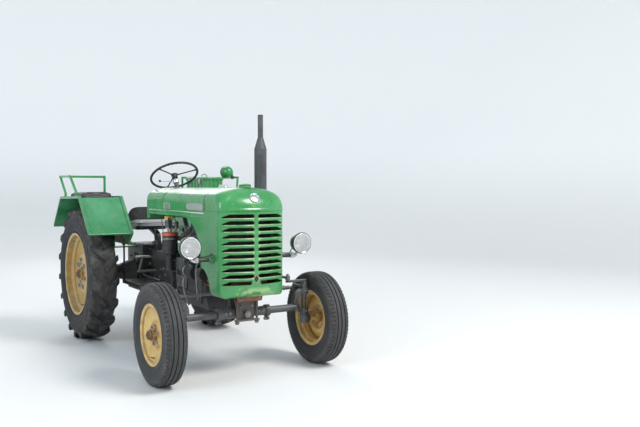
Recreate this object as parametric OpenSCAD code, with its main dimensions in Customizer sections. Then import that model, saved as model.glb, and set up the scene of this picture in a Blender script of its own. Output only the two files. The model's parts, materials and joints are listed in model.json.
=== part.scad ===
// Vintage row tractor with an open engine, louvred nose and wide rear fenders.
// Millimetres. +Z is up and the tractor faces -Y, so +X is its left side.
// Every station is measured from the point on the ground under the front axle,
// and the whole model is then moved so that the origin is under its middle.

/* [Wheelbase and track] */
// Distance between the front and rear axles
wheelbase = 1930; // [1800:10:2100]
// Distance between the middles of the front tyres
front_track = 1328; // [1320:4:1420]
// Distance between the middles of the rear tyres
rear_track = 1280; // [1260:10:1300]

/* [Front wheels] */
// Radius of the front tyre at its tread
front_tyre_r = 367.5; // [350:2.5:380]
// Width of the front tyre
front_tyre_w = 164; // [140:2:170]
// Radius of the front rim at its flange
front_rim_r = 223.5; // [215:0.5:230]
// Width of the front rim over its flanges
front_rim_w = 128; // [110:2:134]
// Depth of the three grooves in the front tyre's tread
groove_depth = 11; // [8:1:14]

/* [Rear wheels] */
// Radius of the rear tyre at the tips of its lugs
rear_tyre_r = 610; // [590:5:625]
// Width of the rear tyre
rear_tyre_w = 245; // [220:5:250]
// Radius of the rear rim at its flange
rear_rim_r = 380; // [370:1:390]
// Width of the rear rim over its flanges
rear_rim_w = 215; // [190:5:220]
// Number of lugs on each half of the tread
lug_pairs = 18; // [16:1:20]
// Height of the lugs above the tyre
lug_h = 34; // [28:1:38]
// Width of a lug along the tyre
lug_w = 56; // [46:1:64]

/* [Nose] */
// Half width of the nose shell
nose_half_w = 270; // [250:2:285]
// How far the nose reaches ahead of the front axle
nose_reach = 223; // [200:1:240]
// How far the nose's face is bowed at the ends of its louvres
nose_bow = 65; // [50:1:80]
// Height of the nose's lower edge
nose_low = 600; // [590:2:610]
// Height of the crown of the hood and nose
hood_top = 1415; // [1390:1:1440]
// Thickness of the sheet metal
sheet = 4; // [3:0.5:5]
// Height of the lowest louvre opening's lower edge
louvre_low = 700; // [690:2:720]
// Distance from one louvre to the next
louvre_pitch = 49; // [46:1:50]
// Number of louvres on each side of the rib
louvre_count = 11; // [9:1:11]

/* [Hood] */
// Rear end of the hood
hood_rear = 1285; // [1260:5:1300]
// Height of the hood's lower edge
hood_low = 1180; // [1160:2:1200]
// Height where the hood's shoulder starts to round
shoulder_z = 1290; // [1270:2:1310]

/* [Engine] */
// Length of the engine block
engine_length = 600; // [560:10:620]
// Height of the top of the engine block
block_top = 930; // [910:5:940]
// Distance from the middle to the air filter
filter_x = 250; // [240:2:270]
// Radius of the air filter
filter_r = 62; // [54:1:70]

/* [Exhaust] */
// Distance from the middle to the exhaust stack
stack_x = 360; // [345:1:375]
// Station of the exhaust stack
stack_y = 384; // [380:1:400]
// Height of the stack's mouth
stack_top = 2010; // [1900:10:2050]

/* [Steering] */
// Distance from the middle to each kingpin's axis
kingpin_x = 545; // [535:1:550]
// Height of the front axle tube above the middle of the wheels
axle_rise = 94.5; // [85:0.5:100]
// Length of the arms behind the kingpins that carry the tie rod
tie_arm = 150; // [140:2:160]
// Length of the arm beside the left kingpin that takes the drag link
drag_arm = 150; // [140:2:160]
// Height of the drag link above the kingpins' housings
drag_rise = 88; // [80:1:100]
// Station of the steering box
steer_box_y = 1010; // [990:5:1030]
// Length of the drop arm at the steering box
drop_arm = 225; // [215:5:240]
// Radius of the steering wheel
wheel_r = 222; // [200:2:235]
// Lean of the steering wheel towards the driver
wheel_lean = 32; // [25:1:38]

/* [Rear fenders] */
// Distance from the middle to the outer edge of a fender
fender_out = 800; // [795:1:815]
// Distance from the middle to the inner wall of a fender
fender_in = 405; // [395:1:420]
// Height of the fender's flat top
fender_top = 1320; // [1300:5:1340]

/* [Lamps] */
// Distance from the middle to each headlight
lamp_x = 465; // [450:1:480]
// Height of the headlights
lamp_z = 980; // [960:2:1000]
// Outer radius of a headlight's rim
lamp_r = 84; // [78:1:90]

/* [Tow jaw] */
// Reach of the tow jaw behind the axle housing
jaw_length = 200; // [180:5:240]
// Height of the middle of the jaw
jaw_z = 620; // [600:5:640]
// Radius of the bore for the tow pin
tow_bore_r = 17; // [14:0.5:20]

/* [Hidden] */
$fn = 48;

// Clearances: beside a still seat, in a running bore, and in the tie rod's free eye
seat_gap = 0.3;
run_gap = 0.05;
free_gap = 0.4;

// Stations and heights that follow from the driving sizes
front_axle_y = -(wheelbase + rear_tyre_r - front_tyre_r) / 2;
front_hub_z = front_tyre_r;
rear_hub_z = rear_tyre_r;
front_wheel_x = front_track / 2;
rear_wheel_x = rear_track / 2;

// Finishes
green = [0.16, 0.42, 0.22];
ochre = [0.79, 0.58, 0.22];
tyre_black = [0.13, 0.13, 0.14];
iron = [0.2, 0.2, 0.2];
steel = [0.62, 0.62, 0.62];
pad_black = [0.08, 0.08, 0.08];
red_brown = [0.45, 0.2, 0.13];
glass = [0.9, 0.92, 0.95];

// Moves the stations so that the origin lies under the middle of the tractor
module at_axle() translate([0, front_axle_y, 0]) children();

// Extrudes a side view, drawn as [y, z], along X from x0
module along_x(x0, length) translate([x0, 0, 0]) rotate([90, 0, 90]) linear_extrude(length) children();

// Extrudes a front view, drawn as [x, z], along Y from y0
module along_y(y0, length) translate([0, y0 + length, 0]) rotate([90, 0, 0]) linear_extrude(length) children();

// A block given by its low corner and its high corner
module block(low, high) translate(low) cube(high - low);

// A round bar between two points
module bar(a, b, r) {
    d = b - a;
    length = norm(d);
    translate(a) rotate([0, acos(d[2] / length), atan2(d[1], d[0])]) cylinder(h = length, r = r);
}

// A round bar along X, and one along Y, each from its low end
module pin_x(x0, length, y, z, r) translate([x0, y, z]) rotate([0, 90, 0]) cylinder(h = length, r = r);
module pin_y(x, y0, length, z, r) translate([x, y0, z]) rotate([-90, 0, 0]) cylinder(h = length, r = r);

// A rectangle with round corners, about its middle
module rounded(w, h, r) {
    square([w, h - 2 * r], center = true);
    square([w - 2 * r, h], center = true);
    for (x = [-1, 1]) for (y = [-1, 1]) translate([x * (w / 2 - r), y * (h / 2 - r)]) circle(r = r);
}

// Points of an arc about [cx, cy], from angle a0 to a1 in n steps
function arc(cx, cy, r, a0, a1, n) =
    [for (i = [0:n]) let (a = a0 + (a1 - a0) * i / n) [cx + r * cos(a), cy + r * sin(a)]];

// A row of points in the other order, one mirrored in the vertical axis, and one moved up
function reversed(p) = [for (i = [len(p) - 1:-1:0]) p[i]];
function mirrored(p) = [for (q = reversed(p)) [-q[0], q[1]]];
function shifted(p, d) = [for (q = p) [q[0], q[1] + d]];

// The round-shouldered section of the hood, drawn as [x, z]
crown_power = 0.72;
crown_steps = 10;
function crown_half(half_w, top) = [for (i = [0:crown_steps]) let (a = 90 * i / crown_steps)
    [half_w * pow(cos(a), crown_power), shoulder_z + (top - shoulder_z) * pow(sin(a), crown_power)]];
module hood_section(half_w, top, low) {
    right = concat([[half_w, low]], crown_half(half_w, top));
    polygon(concat(right, mirrored(right)));
}

// Tyres. A half section is drawn as [radius, offset from the wheel's middle plane]
// and turned about the wheel's axis.
bead_drop = 20;
rim_wall = 6;
module turned(half) rotate([0, 90, 0]) rotate_extrude($fn = 96)
    polygon(concat(half, [for (p = reversed(half)) [p[0], -p[1]]]));

// Columns: share of the tyre's height above the rim's flange, share of its half width
tyre_form = [[0.04, 0.80], [0.14, 0.90], [0.34, 0.97], [0.60, 0.98],
    [0.84, 0.90], [0.96, 0.76], [1, 0.4]];
module tyre(rim_r, rim_w, tread_r, width) {
    bead = [[rim_r - bead_drop + seat_gap, rim_w / 2 - 2 * rim_wall - seat_gap],
        [rim_r + seat_gap, rim_w / 2 - rim_wall - seat_gap]];
    turned(concat(bead, [for (row = tyre_form) [rim_r + (tread_r - rim_r) * row[0], width / 2 * row[1]]]));
}

groove_w = 11;
groove_pitch = 33;
module front_tyre() difference() {
    tyre(front_rim_r, front_rim_w, front_tyre_r, front_tyre_w);
    for (i = [-1:1]) translate([i * groove_pitch, 0, 0]) turned([[front_tyre_r - groove_depth, groove_w / 3],
        [front_tyre_r + 1, groove_w / 2 + 1]]);
}

// A lug runs from the middle of the tread out to the shoulder and slopes back on the way.
// It is drawn flat, rooted in the tyre and trimmed by the tread's outer form.
lug_slope = 0.9;
lug_start = 20;
lug_root = 25;
// Columns: depth under the lugs' tips, share of the tyre's half width
lug_form = [[100, 1], [60, 1], [20, 1], [5, 0.72], [0, 0.35]];
module lug() {
    function across(x, d) = [x, (x - lug_start) * lug_slope + d];
    inner = -3;
    outer = rear_tyre_w / 2 + 5;
    translate([0, 0, rear_tyre_r - lug_h - lug_root]) linear_extrude(lug_h + lug_root + 3)
        polygon([across(inner, -lug_w / 2), across(outer, -lug_w / 2),
            across(outer, lug_w / 2), across(inner, lug_w / 2)]);
}

module rear_tyre() {
    tyre(rear_rim_r, rear_rim_w, rear_tyre_r - lug_h, rear_tyre_w);
    intersection() {
        turned([for (row = lug_form) [rear_tyre_r - row[0], rear_tyre_w / 2 * row[1]]]);
        union() for (i = [0:lug_pairs - 1]) {
            rotate([i * 360 / lug_pairs, 0, 0]) lug();
            rotate([(i + 0.5) * 360 / lug_pairs, 0, 0]) mirror([1, 0, 0]) lug();
        }
    }
}

// The rim's barrel with its two flanges and its well
module rim_barrel(rim_r, width, drop) {
    seat_r = rim_r - bead_drop;
    half = width / 2;
    outer = [[rim_r, half], [rim_r, half - rim_wall], [seat_r, half - 2 * rim_wall],
        [seat_r, half * 0.45], [seat_r - drop, half * 0.3]];
    inner = [[seat_r - drop - rim_wall, half * 0.3 + rim_wall / 2], [seat_r - rim_wall, half * 0.45 + rim_wall],
        [seat_r - rim_wall, half - rim_wall], [rim_r - rim_wall, half]];
    rotate([0, 90, 0]) rotate_extrude($fn = 96) polygon(concat(
        outer, [for (p = reversed(outer)) [p[0], -p[1]]],
        [for (p = reversed(inner)) [p[0], -p[1]]], inner));
}

// A pressed wheel disc, from rows of [radius, offset] between the hub and the rim
module wheel_disc(rows, t) rotate([0, 90, 0]) rotate_extrude($fn = 96)
    polygon(concat(rows, [for (p = reversed(rows)) [p[0], p[1] + t]]));

// Engine: crankcase, sump, timing cover, water pump and crank pulley
engine_front = 330;
engine_rear = engine_front + engine_length;
engine_half_w = 140;
crank_half_w = 158;
sump_low = 440;
sump_top = 560;
cover_t = 45;
pump_face = engine_front - cover_t;
crank_z = 640;
fan_z = 960;
pulley_w = 34;
pulley_y = pump_face - pulley_w - 8;
cylinders = 4;
bore_pitch = 138;
first_bore = engine_front + 95;
module engine_block() color(iron) at_axle() {
    along_y(engine_front, engine_length) polygon([[-engine_half_w, block_top], [-engine_half_w, 722],
        [-crank_half_w, 690], [-crank_half_w, sump_top], [crank_half_w, sump_top], [crank_half_w, 690],
        [engine_half_w, 722], [engine_half_w, block_top]]);
    along_y(engine_front, engine_length) translate([0, sump_top - 7]) square([2 * crank_half_w + 24, 15], center = true);
    along_y(engine_front + 20, engine_length - 40) polygon([[-120, sump_low], [120, sump_low],
        [146, sump_top], [-146, sump_top]]);
    along_y(pump_face, cover_t + 1) union() {
        translate([0, crank_z]) circle(r = 82);
        translate([0, 800]) circle(r = 96);
        polygon([[-82, crank_z], [82, crank_z], [96, 800], [-96, 800]]);
        polygon([[-60, 850], [60, 850], [56, fan_z], [-56, fan_z]]);
        translate([0, fan_z]) circle(r = 56);
    }
    pin_y(0, pulley_y, pulley_w, crank_z, 70);
    pin_y(0, pulley_y + pulley_w - 1, 10, crank_z, 40);
    for (side = [-1, 1]) for (i = [0:cylinders - 1]) translate([0, first_bore + i * bore_pitch, 0])
        pin_x(side > 0 ? engine_half_w - 1 : -engine_half_w - 5, 6, 0, 830, 27);
    for (i = [0:cylinders]) block([-engine_half_w - 8, first_bore + (i - 0.5) * bore_pitch - 5, 735],
        [-engine_half_w + 1, first_bore + (i - 0.5) * bore_pitch + 5, block_top]);
}

// Cylinder head with the rocker cover, the inlet manifold on the right, and the injectors
head_half_w = 115;
head_low = block_top;
head_top = block_top + 80;
rocker_r = 78;
inlet_z = head_low + 52;
inlet_r = 22;
inlet_x = -filter_x + filter_r + 8 + inlet_r;
module cylinder_head() color(iron) at_axle() {
    block([-head_half_w, engine_front + 15, head_low], [head_half_w, engine_rear - 15, head_top]);
    along_y(engine_front + 40, engine_length - 80) intersection() {
        union() {
            translate([-rocker_r, head_top - 1]) square([2 * rocker_r, 26]);
            translate([0, head_top - 12]) circle(r = rocker_r + 12);
        }
        translate([-rocker_r, head_top - 1]) square([2 * rocker_r, 90]);
    }
    pin_y(inlet_x, first_bore - 30, (cylinders - 1) * bore_pitch + 60, inlet_z, inlet_r);
    for (i = [0:cylinders - 1]) {
        y = first_bore + i * bore_pitch;
        pin_x(inlet_x, -inlet_x - head_half_w + 1, y, inlet_z, 17);
        bar([-98, y + 45, head_top - 10], [-122, y + 45, head_top + 62], 9);
        bar([-116, y + 45, head_top + 42], [-120, y + 45, head_top + 54], 13);
    }
}

// Bell housing and gearbox with a ribbed lid and side covers
bell_rear = engine_rear + 180;
bell_front_top = 920;
bell_rear_top = 860;
gear_rear = wheelbase - 230;
gear_top = 830;
gear_half_w = 140;
gear_cover_t = 12;
bell_half_w = 185;
function bell_top(y) = bell_front_top + (bell_rear_top - bell_front_top) * (y - engine_rear) / (bell_rear - engine_rear);
module gearbox() color(iron) at_axle() {
    along_x(-bell_half_w, 2 * bell_half_w) polygon([[engine_rear, 420], [bell_rear, 450],
        [bell_rear, bell_rear_top], [engine_rear, bell_front_top]]);
    along_x(-bell_half_w - 14, 2 * bell_half_w + 28) polygon([[engine_rear, 410], [engine_rear + 18, 412],
        [engine_rear + 18, bell_top(engine_rear + 18)], [engine_rear, bell_front_top]]);
    block([-gear_half_w, bell_rear, 440], [gear_half_w, gear_rear, gear_top]);
    along_x(-gear_half_w - gear_cover_t, 2 * (gear_half_w + gear_cover_t)) {
        translate([(bell_rear + gear_rear) / 2 - 130, 620]) circle(r = 82);
        translate([(bell_rear + gear_rear) / 2 + 130, 590]) circle(r = 60);
    }
    for (z = [470, 760]) block([-gear_half_w - 10, bell_rear, z], [gear_half_w + 10, gear_rear, z + 14]);
}

// Rear axle housing, its trumpets and the bearing bores for the wheel shafts
axle_house_rear = wheelbase + 200;
axle_house_top = 870;
axle_house_half_w = 185;
trumpet_end = 505;
hub_shaft_r = 34;
hub_shaft_depth = 90;
trumpet_r = 72;
flange_r = 115;
module rear_axle() color(iron) at_axle() difference() {
    union() {
        block([-axle_house_half_w, gear_rear, 430], [axle_house_half_w, axle_house_rear, axle_house_top]);
        pin_x(-axle_house_half_w - 14, 2 * axle_house_half_w + 28, wheelbase, rear_hub_z, 172);
        pin_x(-trumpet_end, 2 * trumpet_end, wheelbase, rear_hub_z, trumpet_r);
        for (side = [-1, 1]) {
            pin_x(side > 0 ? trumpet_end - 34 : -trumpet_end, 34, wheelbase, rear_hub_z, flange_r);
            translate([side * (axle_house_half_w + 13), wheelbase, rear_hub_z]) rotate([0, side * 90, 0])
                cylinder(h = 130, r1 = 120, r2 = trumpet_r + 2);
        }
    }
    for (side = [-1, 1])
        pin_x(side > 0 ? trumpet_end - hub_shaft_depth : -trumpet_end - 1, hub_shaft_depth + 1,
            wheelbase, rear_hub_z, hub_shaft_r + run_gap);
}

// Front bolster with its rails to the engine, and the pedestal that hangs the axle by four bolts
axle_z = front_hub_z + axle_rise;
bolster_low = 640;
bolster_top = 720;
bolster_half_w = 150;
bolster_cross_rear = 170;
rail_inner = 118;
pedestal_half_w = 62;
pedestal_half_l = 60;
pedestal_t = 16;
strap_z = axle_z - 52;
bolt_x = 82;
bolt_y = pedestal_half_l + 12;
bolt_r = 9;
axle_tube_r = 36;
slide_tube_r = 28;
clamp_x = 205;
pivot_r = 20;

module front_bolster() color(red_brown) at_axle() difference() {
    union() {
        block([-bolster_half_w, -110, bolster_low], [bolster_half_w, bolster_cross_rear, bolster_top]);
        for (side = [-1, 1]) {
            block([side > 0 ? rail_inner : -bolster_half_w, bolster_cross_rear - 1, bolster_low],
                [side > 0 ? bolster_half_w : -rail_inner, engine_front, bolster_top]);
            along_y(side > 0 ? pedestal_half_l - pedestal_t : -pedestal_half_l, pedestal_t)
                polygon([[-110, bolster_low + 1], [-pedestal_half_w, axle_z - 40],
                    [pedestal_half_w, axle_z - 40], [110, bolster_low + 1]]);
            block([-bolt_x - 16, side * bolt_y - (side > 0 ? 18 : 16), strap_z],
                [bolt_x + 16, side * bolt_y + (side > 0 ? 16 : 18), axle_z - 40]);
            for (x = [-bolt_x, bolt_x]) {
                translate([x, side * bolt_y, strap_z - 8]) cylinder(h = bolster_low - strap_z + 9, r = bolt_r);
                translate([x, side * bolt_y, strap_z - 15]) cylinder(h = 16, r = 16, $fn = 6);
            }
        }
        along_x(-bolster_half_w - 10, 2 * bolster_half_w + 20) polygon([[-118, bolster_low - 12], [-100, bolster_low - 12],
            [-100, bolster_low + 1], [-118, bolster_low + 46]]);
    }
    pin_y(0, -bolt_y - 30, 2 * bolt_y + 60, axle_z, pivot_r + run_gap);
}

// Front axle: the tube, its sleeves and clamps, and a fork for each kingpin
housing_r = 34;
housing_low = axle_z - 57;
housing_top = axle_z + 150;
boss_h = 46;
fork_r = 62;
fork_t = 40;
fork_half_y = 22;
kingpin_r = 21;
arm_h = 16;
arm_low = housing_top + 2;
eye_h = 28;
tie_z = arm_low - eye_h / 2 - seat_gap;
module fork(side) {
    mid_z = (housing_low + housing_top) / 2;
    translate([side * kingpin_x, 0, housing_low]) cylinder(h = boss_h, r = housing_r);
    translate([side * kingpin_x, 0, housing_top - boss_h]) cylinder(h = boss_h, r = housing_r);
    along_y(-fork_half_y, 2 * fork_half_y) intersection() {
        translate([side * kingpin_x, mid_z]) difference() {
            circle(r = fork_r + fork_t);
            circle(r = fork_r);
        }
        translate([side > 0 ? kingpin_x - 110 : -kingpin_x, housing_low]) square([110, housing_top - housing_low]);
    }
}

module front_axle() color(iron) at_axle() difference() {
    union() {
        pin_x(-clamp_x, 2 * clamp_x, 0, axle_z, axle_tube_r);
        pin_y(0, -pedestal_half_l - 20, 2 * pedestal_half_l + 40, axle_z, pivot_r);
        pin_x(-kingpin_x + fork_r + 18, 2 * (kingpin_x - fork_r - 18), 0, axle_z, slide_tube_r);
        for (side = [-1, 1]) {
            fork(side);
            pin_x(side * clamp_x - 17, 34, 0, axle_z, axle_tube_r + 9);
            block([side * clamp_x - 13, -10, axle_z - 74], [side * clamp_x + 13, 10, axle_z - 36]);
        }
    }
    for (side = [-1, 1])
        translate([side * kingpin_x, 0, housing_low - 1])
            cylinder(h = housing_top - housing_low + 2, r = kingpin_r + run_gap);
}

// Steering knuckles: kingpin, spindle, arms and the pins of the rods
spindle_r = 20;
spindle_end = front_wheel_x + 55;
link_pin_r = 8;
post_r = 31;
drag_z = housing_top + drag_rise;

module arm_plate(length, wide, narrow, z) translate([0, 0, z]) linear_extrude(arm_h) union() {
    circle(r = wide);
    polygon([[-wide, 0], [wide, 0], [narrow, -length], [-narrow, -length]]);
    translate([0, -length]) circle(r = narrow);
}

module knuckle(side) {
    low = housing_low - 2;
    foot = front_hub_z - 34;
    translate([side * kingpin_x, 0, 0]) {
        translate([0, 0, low - 1]) cylinder(h = housing_top - low + 4, r = kingpin_r);
        translate([0, 0, foot]) cylinder(h = low - foot, r = post_r);
        translate([0, 0, arm_low]) cylinder(h = 40, r = 27);
        rotate([0, 0, 180]) arm_plate(tie_arm, 25, 15, arm_low);
        translate([0, tie_arm, tie_z - 22]) cylinder(h = arm_low + 1 - tie_z + 22, r = link_pin_r);
    }
    pin_x(side > 0 ? kingpin_x : -spindle_end, spindle_end - kingpin_x, 0, front_hub_z, spindle_r);
    pin_x(side > 0 ? kingpin_x + 10 : -kingpin_x - 42, 32, 0, front_hub_z, 33);
}

module knuckle_left() color(iron) at_axle() {
    knuckle(1);
    translate([kingpin_x, 0, housing_top + 30]) cylinder(h = drag_z - 20 - housing_top - 30, r = 22);
    translate([kingpin_x, 0, 0]) rotate([0, 0, -90]) arm_plate(drag_arm, 24, 17, drag_z - 20 - arm_h);
    translate([kingpin_x - drag_arm, 0, drag_z - 21]) cylinder(h = 42, r = link_pin_r);
}

module knuckle_right() color(iron) at_axle() knuckle(-1);

tie_rod_r = 12;
eye_r = 17;
module tie_rod() color(iron) at_axle() translate([0, tie_arm, tie_z]) difference() {
    union() {
        pin_x(-kingpin_x + eye_r - 5, 2 * (kingpin_x - eye_r + 5), 0, 0, tie_rod_r);
        for (side = [-1, 1]) {
            translate([side * kingpin_x, 0, 0]) cylinder(h = eye_h, r = eye_r, center = true);
            pin_x(side * (kingpin_x - 75) - 25, 50, 0, 0, tie_rod_r + 4);
        }
    }
    translate([kingpin_x, 0, 0]) cylinder(h = eye_h + 2, r = link_pin_r + run_gap, center = true);
    translate([-kingpin_x, 0, 0]) cylinder(h = eye_h + 2, r = link_pin_r + free_gap, center = true);
}

link_x = kingpin_x - drag_arm;
link_r = 11;
link_eye_r = 19;
drop_arm_t = 20;
drop_face_x = link_x - 22;
module drag_link() color(iron) at_axle() translate([link_x, 0, drag_z]) difference() {
    union() {
        pin_y(0, 0, steer_box_y, 0, link_r);
        cylinder(h = 30, r = link_eye_r, center = true);
        pin_x(-20, 38, steer_box_y, 0, link_eye_r);
    }
    cylinder(h = 40, r = link_pin_r + run_gap, center = true);
}

drop_shaft_r = 14;
drop_shaft_x = 210;
drop_z = drag_z + drop_arm;
module drop_arm_lever() color(iron) at_axle() {
    along_x(drop_face_x - drop_arm_t, drop_arm_t) union() {
        translate([steer_box_y, drop_z]) circle(r = 30);
        polygon([[steer_box_y - 26, drop_z], [steer_box_y + 26, drop_z],
            [steer_box_y + 16, drag_z], [steer_box_y - 16, drag_z]]);
        translate([steer_box_y, drag_z]) circle(r = link_eye_r);
    }
    pin_x(drop_shaft_x, drop_face_x - drop_shaft_x - 5, steer_box_y, drop_z, drop_shaft_r);
}

// Steering box over the bell housing, with the bore of the drop arm's shaft
box_half_l = 65;
box_low = bell_top(steer_box_y - box_half_l) + seat_gap;
box_top = drop_z + 85;
box_half_w = 60;
box_out_x = 230;
boss_r = 32;
module steering_box() color(iron) at_axle() difference() {
    union() {
        block([-box_half_w, steer_box_y - box_half_l, box_low], [box_out_x, steer_box_y + box_half_l, box_top]);
        along_x(-box_half_w, box_out_x - 20 + box_half_w) polygon([
            [steer_box_y - 45, bell_top(steer_box_y - 45) + seat_gap],
            [steer_box_y + 45, bell_top(steer_box_y + 45) + seat_gap],
            [steer_box_y + 45, box_low + 5], [steer_box_y - 45, box_low + 5]]);
        pin_x(box_out_x - 10, drop_face_x - drop_arm_t - 6 - box_out_x + 10, steer_box_y, drop_z, boss_r);
    }
    pin_x(drop_shaft_x - 1, drop_face_x - drop_shaft_x, steer_box_y, drop_z, drop_shaft_r + run_gap);
}

// Front wheels: rim, pressed disc, hub and cap
hub_r = 48;
cap_r = 34;
disc_t = 8;
front_disc_r = front_rim_r - bead_drop - rim_wall + 2;
front_disc = [[hub_r - 1, 26], [88, 26], [100, 10], [122, 6], [150, 14], [front_disc_r - 12, 34], [front_disc_r, 38]];
module front_rim(side) translate([side * front_wheel_x, 0, front_hub_z]) mirror([side > 0 ? 0 : 1, 0, 0])
    difference() {
        union() {
            rim_barrel(front_rim_r, front_rim_w, 18);
            wheel_disc(front_disc, disc_t);
            pin_x(-70, 130, 0, 0, hub_r);
            pin_x(58, 22, 0, 0, cap_r);
        }
        pin_x(-71, 71 + spindle_end - front_wheel_x + 4, 0, 0, spindle_r + run_gap);
    }

module front_rim_left() color(ochre) at_axle() front_rim(1);
module front_rim_right() color(ochre) at_axle() front_rim(-1);
module front_tyre_left() color(tyre_black) at_axle() translate([front_wheel_x, 0, front_hub_z]) front_tyre();
module front_tyre_right() color(tyre_black) at_axle() translate([-front_wheel_x, 0, front_hub_z]) front_tyre();

// Rear wheels: rim, deep pressed disc, hub flange and shaft
rear_hub_r = 95;
rear_well = 24;
rear_disc_r = rear_rim_r - bead_drop - rear_well - rim_wall + 2;
rear_disc = [[rear_hub_r - 1, 46], [165, 46], [180, 38], [205, 22], [262, 14],
    [290, 8], [rear_disc_r - 12, 10], [rear_disc_r, 16]];
rear_hub_face = 50;
module rear_rim(side) translate([side * rear_wheel_x, wheelbase, rear_hub_z]) mirror([side > 0 ? 0 : 1, 0, 0]) {
    inner = trumpet_end + 6 - rear_wheel_x;
    rim_barrel(rear_rim_r, rear_rim_w, rear_well);
    wheel_disc(rear_disc, disc_t);
    pin_x(inner, rear_hub_face - inner, 0, 0, rear_hub_r);
    pin_x(rear_hub_face - 1, 16, 0, 0, 62);
    pin_x(rear_hub_face + 14, 14, 0, 0, 40);
    pin_x(trumpet_end - hub_shaft_depth + 5 - rear_wheel_x, hub_shaft_depth + 10, 0, 0, hub_shaft_r);
}

module rear_rim_left() color(ochre) at_axle() rear_rim(1);
module rear_rim_right() color(ochre) at_axle() rear_rim(-1);
module rear_tyre_left() color(tyre_black) at_axle() translate([rear_wheel_x, wheelbase, rear_hub_z]) rear_tyre();
module rear_tyre_right() color(tyre_black) at_axle() translate([-rear_wheel_x, wheelbase, rear_hub_z]) rear_tyre();

// Nose shell. Its face is an arc about bow_y, seen from above
slot_end = 252;
bow_r = (slot_end * slot_end + nose_bow * nose_bow) / (2 * nose_bow);
bow_y = bow_r - nose_reach;
face_angle = asin(slot_end / bow_r);
corner_r = 34;
nose_seam = 105;
cheek_rear = 520;
cheek_arch = [505, 835];
cheek_arch_r = 342;
low_arch = [170, 640];
low_arch_r = 165;
forehead_low = 1250;
forehead_back = -20;
chin_r = 85;
chin_corner_r = 62;
brow_z = 1240;

module nose_plan(inset) {
    half = nose_half_w - inset;
    face = arc(0, bow_y, bow_r - inset, 270 - face_angle, 270 + face_angle, 16);
    right_end = face[len(face) - 1];
    corner_y = right_end[1] + corner_r;
    polygon(concat(face, [[half - 6, right_end[1] + 14], [half, corner_y], [half, cheek_rear + 60],
        [-half, cheek_rear + 60], [-half, corner_y], [-half + 6, right_end[1] + 14]]));
}

module nose_side(inset) {
    front = -nose_reach + inset;
    top = hood_top - inset;
    low = nose_low + inset;
    forehead = [for (i = [0:8]) let (a = 180 - 90 * i / 8)
        [forehead_back + (forehead_back - front) * cos(a), forehead_low + (top - forehead_low) * sin(a)]];
    chin = arc(front + chin_r, low + chin_r, chin_r, 270, 180, 6);
    polygon(concat(chin, forehead, [[cheek_rear + 80, top], [cheek_rear + 80, low]]));
}

module nose_section(inset) {
    half = nose_half_w - inset;
    low = nose_low + inset;
    r = chin_corner_r - inset;
    right = concat(arc(half - r, low + r, r, 270, 360, 8), crown_half(half, hood_top - inset));
    polygon(concat(right, mirrored(right)));
}

module nose_solid(inset) intersection() {
    translate([0, 0, nose_low - 10]) linear_extrude(hood_top - nose_low + 20) nose_plan(inset);
    along_x(-nose_half_w - 10, 2 * nose_half_w + 20) nose_side(inset);
    along_y(-nose_reach - 10, cheek_rear + nose_reach + 100) nose_section(inset);
}

// What is cut away behind the nose, seen from the side
module behind_nose() {
    far = cheek_rear + 200;
    polygon(concat([[nose_seam, hood_top + 50], [nose_seam, hood_low + 30], [cheek_rear, hood_low + 30],
        [cheek_rear, hood_low - 4]],
        arc(cheek_arch[0], cheek_arch[1], cheek_arch_r, 90, 180, 10),
        arc(low_arch[0], low_arch[1], low_arch_r, 90, 180, 8),
        [[low_arch[0] - low_arch_r, nose_low - 50], [far, nose_low - 50], [far, hood_top + 50]]));
}

// The louvres. Each opening runs to a point at its outer end, and small gussets
// tie the slats to the rib. The lowest pair leaves a plate for the crank's hole.
slot_h = 27;
rib_half_w = 13;
gusset = 12;
crank_plate_half_w = 42;
crank_hole_half = 27;
slat_depth = 30;
slat_root = 1;
module louvre_window() for (side = [-1, 1]) for (i = [0:louvre_count - 1]) {
    foot = i == 0 ? crank_plate_half_w : i == 1 ? rib_half_w + 2 * gusset : rib_half_w + gusset;
    waist = i == 0 ? crank_plate_half_w - gusset / 2 : rib_half_w;
    head = i == 0 ? rib_half_w + 2 * gusset : rib_half_w + gusset;
    translate([0, 0, louvre_low + i * louvre_pitch]) along_y(-nose_reach - 10, nose_reach)
        mirror([side > 0 ? 0 : 1, 0]) polygon([[foot, 0], [slot_end - 16, 0], [slot_end, 6],
            [slot_end - 55, slot_h], [head, slot_h], [waist, slot_h / 2]]);
}

module louvre_slats() for (i = [0:louvre_count - 1])
    translate([0, bow_y, louvre_low + i * louvre_pitch + slot_h])
        rotate([0, 0, 270 - face_angle]) rotate_extrude(angle = 2 * face_angle, $fn = 120)
            polygon([[bow_r - sheet + slat_root, 0], [bow_r - sheet + slat_root, sheet],
                [bow_r - sheet - slat_depth, sheet + 18], [bow_r - sheet - slat_depth, 18]]);

// The lip under the forehead, above the top louvre
module brow() translate([0, bow_y, brow_z]) rotate([0, 0, 270 - face_angle])
    rotate_extrude(angle = 2 * face_angle, $fn = 120)
        polygon([[bow_r - 2, 0], [bow_r + 5, 8], [bow_r + 4, 14], [bow_r - 2, 24]]);

module nose() color(green) at_axle() {
    difference() {
        nose_solid(0);
        difference() {
            nose_solid(sheet);
            block([-nose_half_w, -nose_reach, nose_low - 20], [nose_half_w, -120, nose_low + sheet]);
        }
        along_x(-nose_half_w - 20, 2 * nose_half_w + 40) behind_nose();
        louvre_window();
        block([-165, -120, nose_low - 20], [165, 200, nose_low + sheet + 10]);
        translate([0, -nose_reach, louvre_low + crank_plate_half_w]) rotate([0, 45, 0])
            cube([crank_hole_half * sqrt(2), 40, crank_hole_half * sqrt(2)], center = true);
    }
    louvre_slats();
    brow();
}

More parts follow.
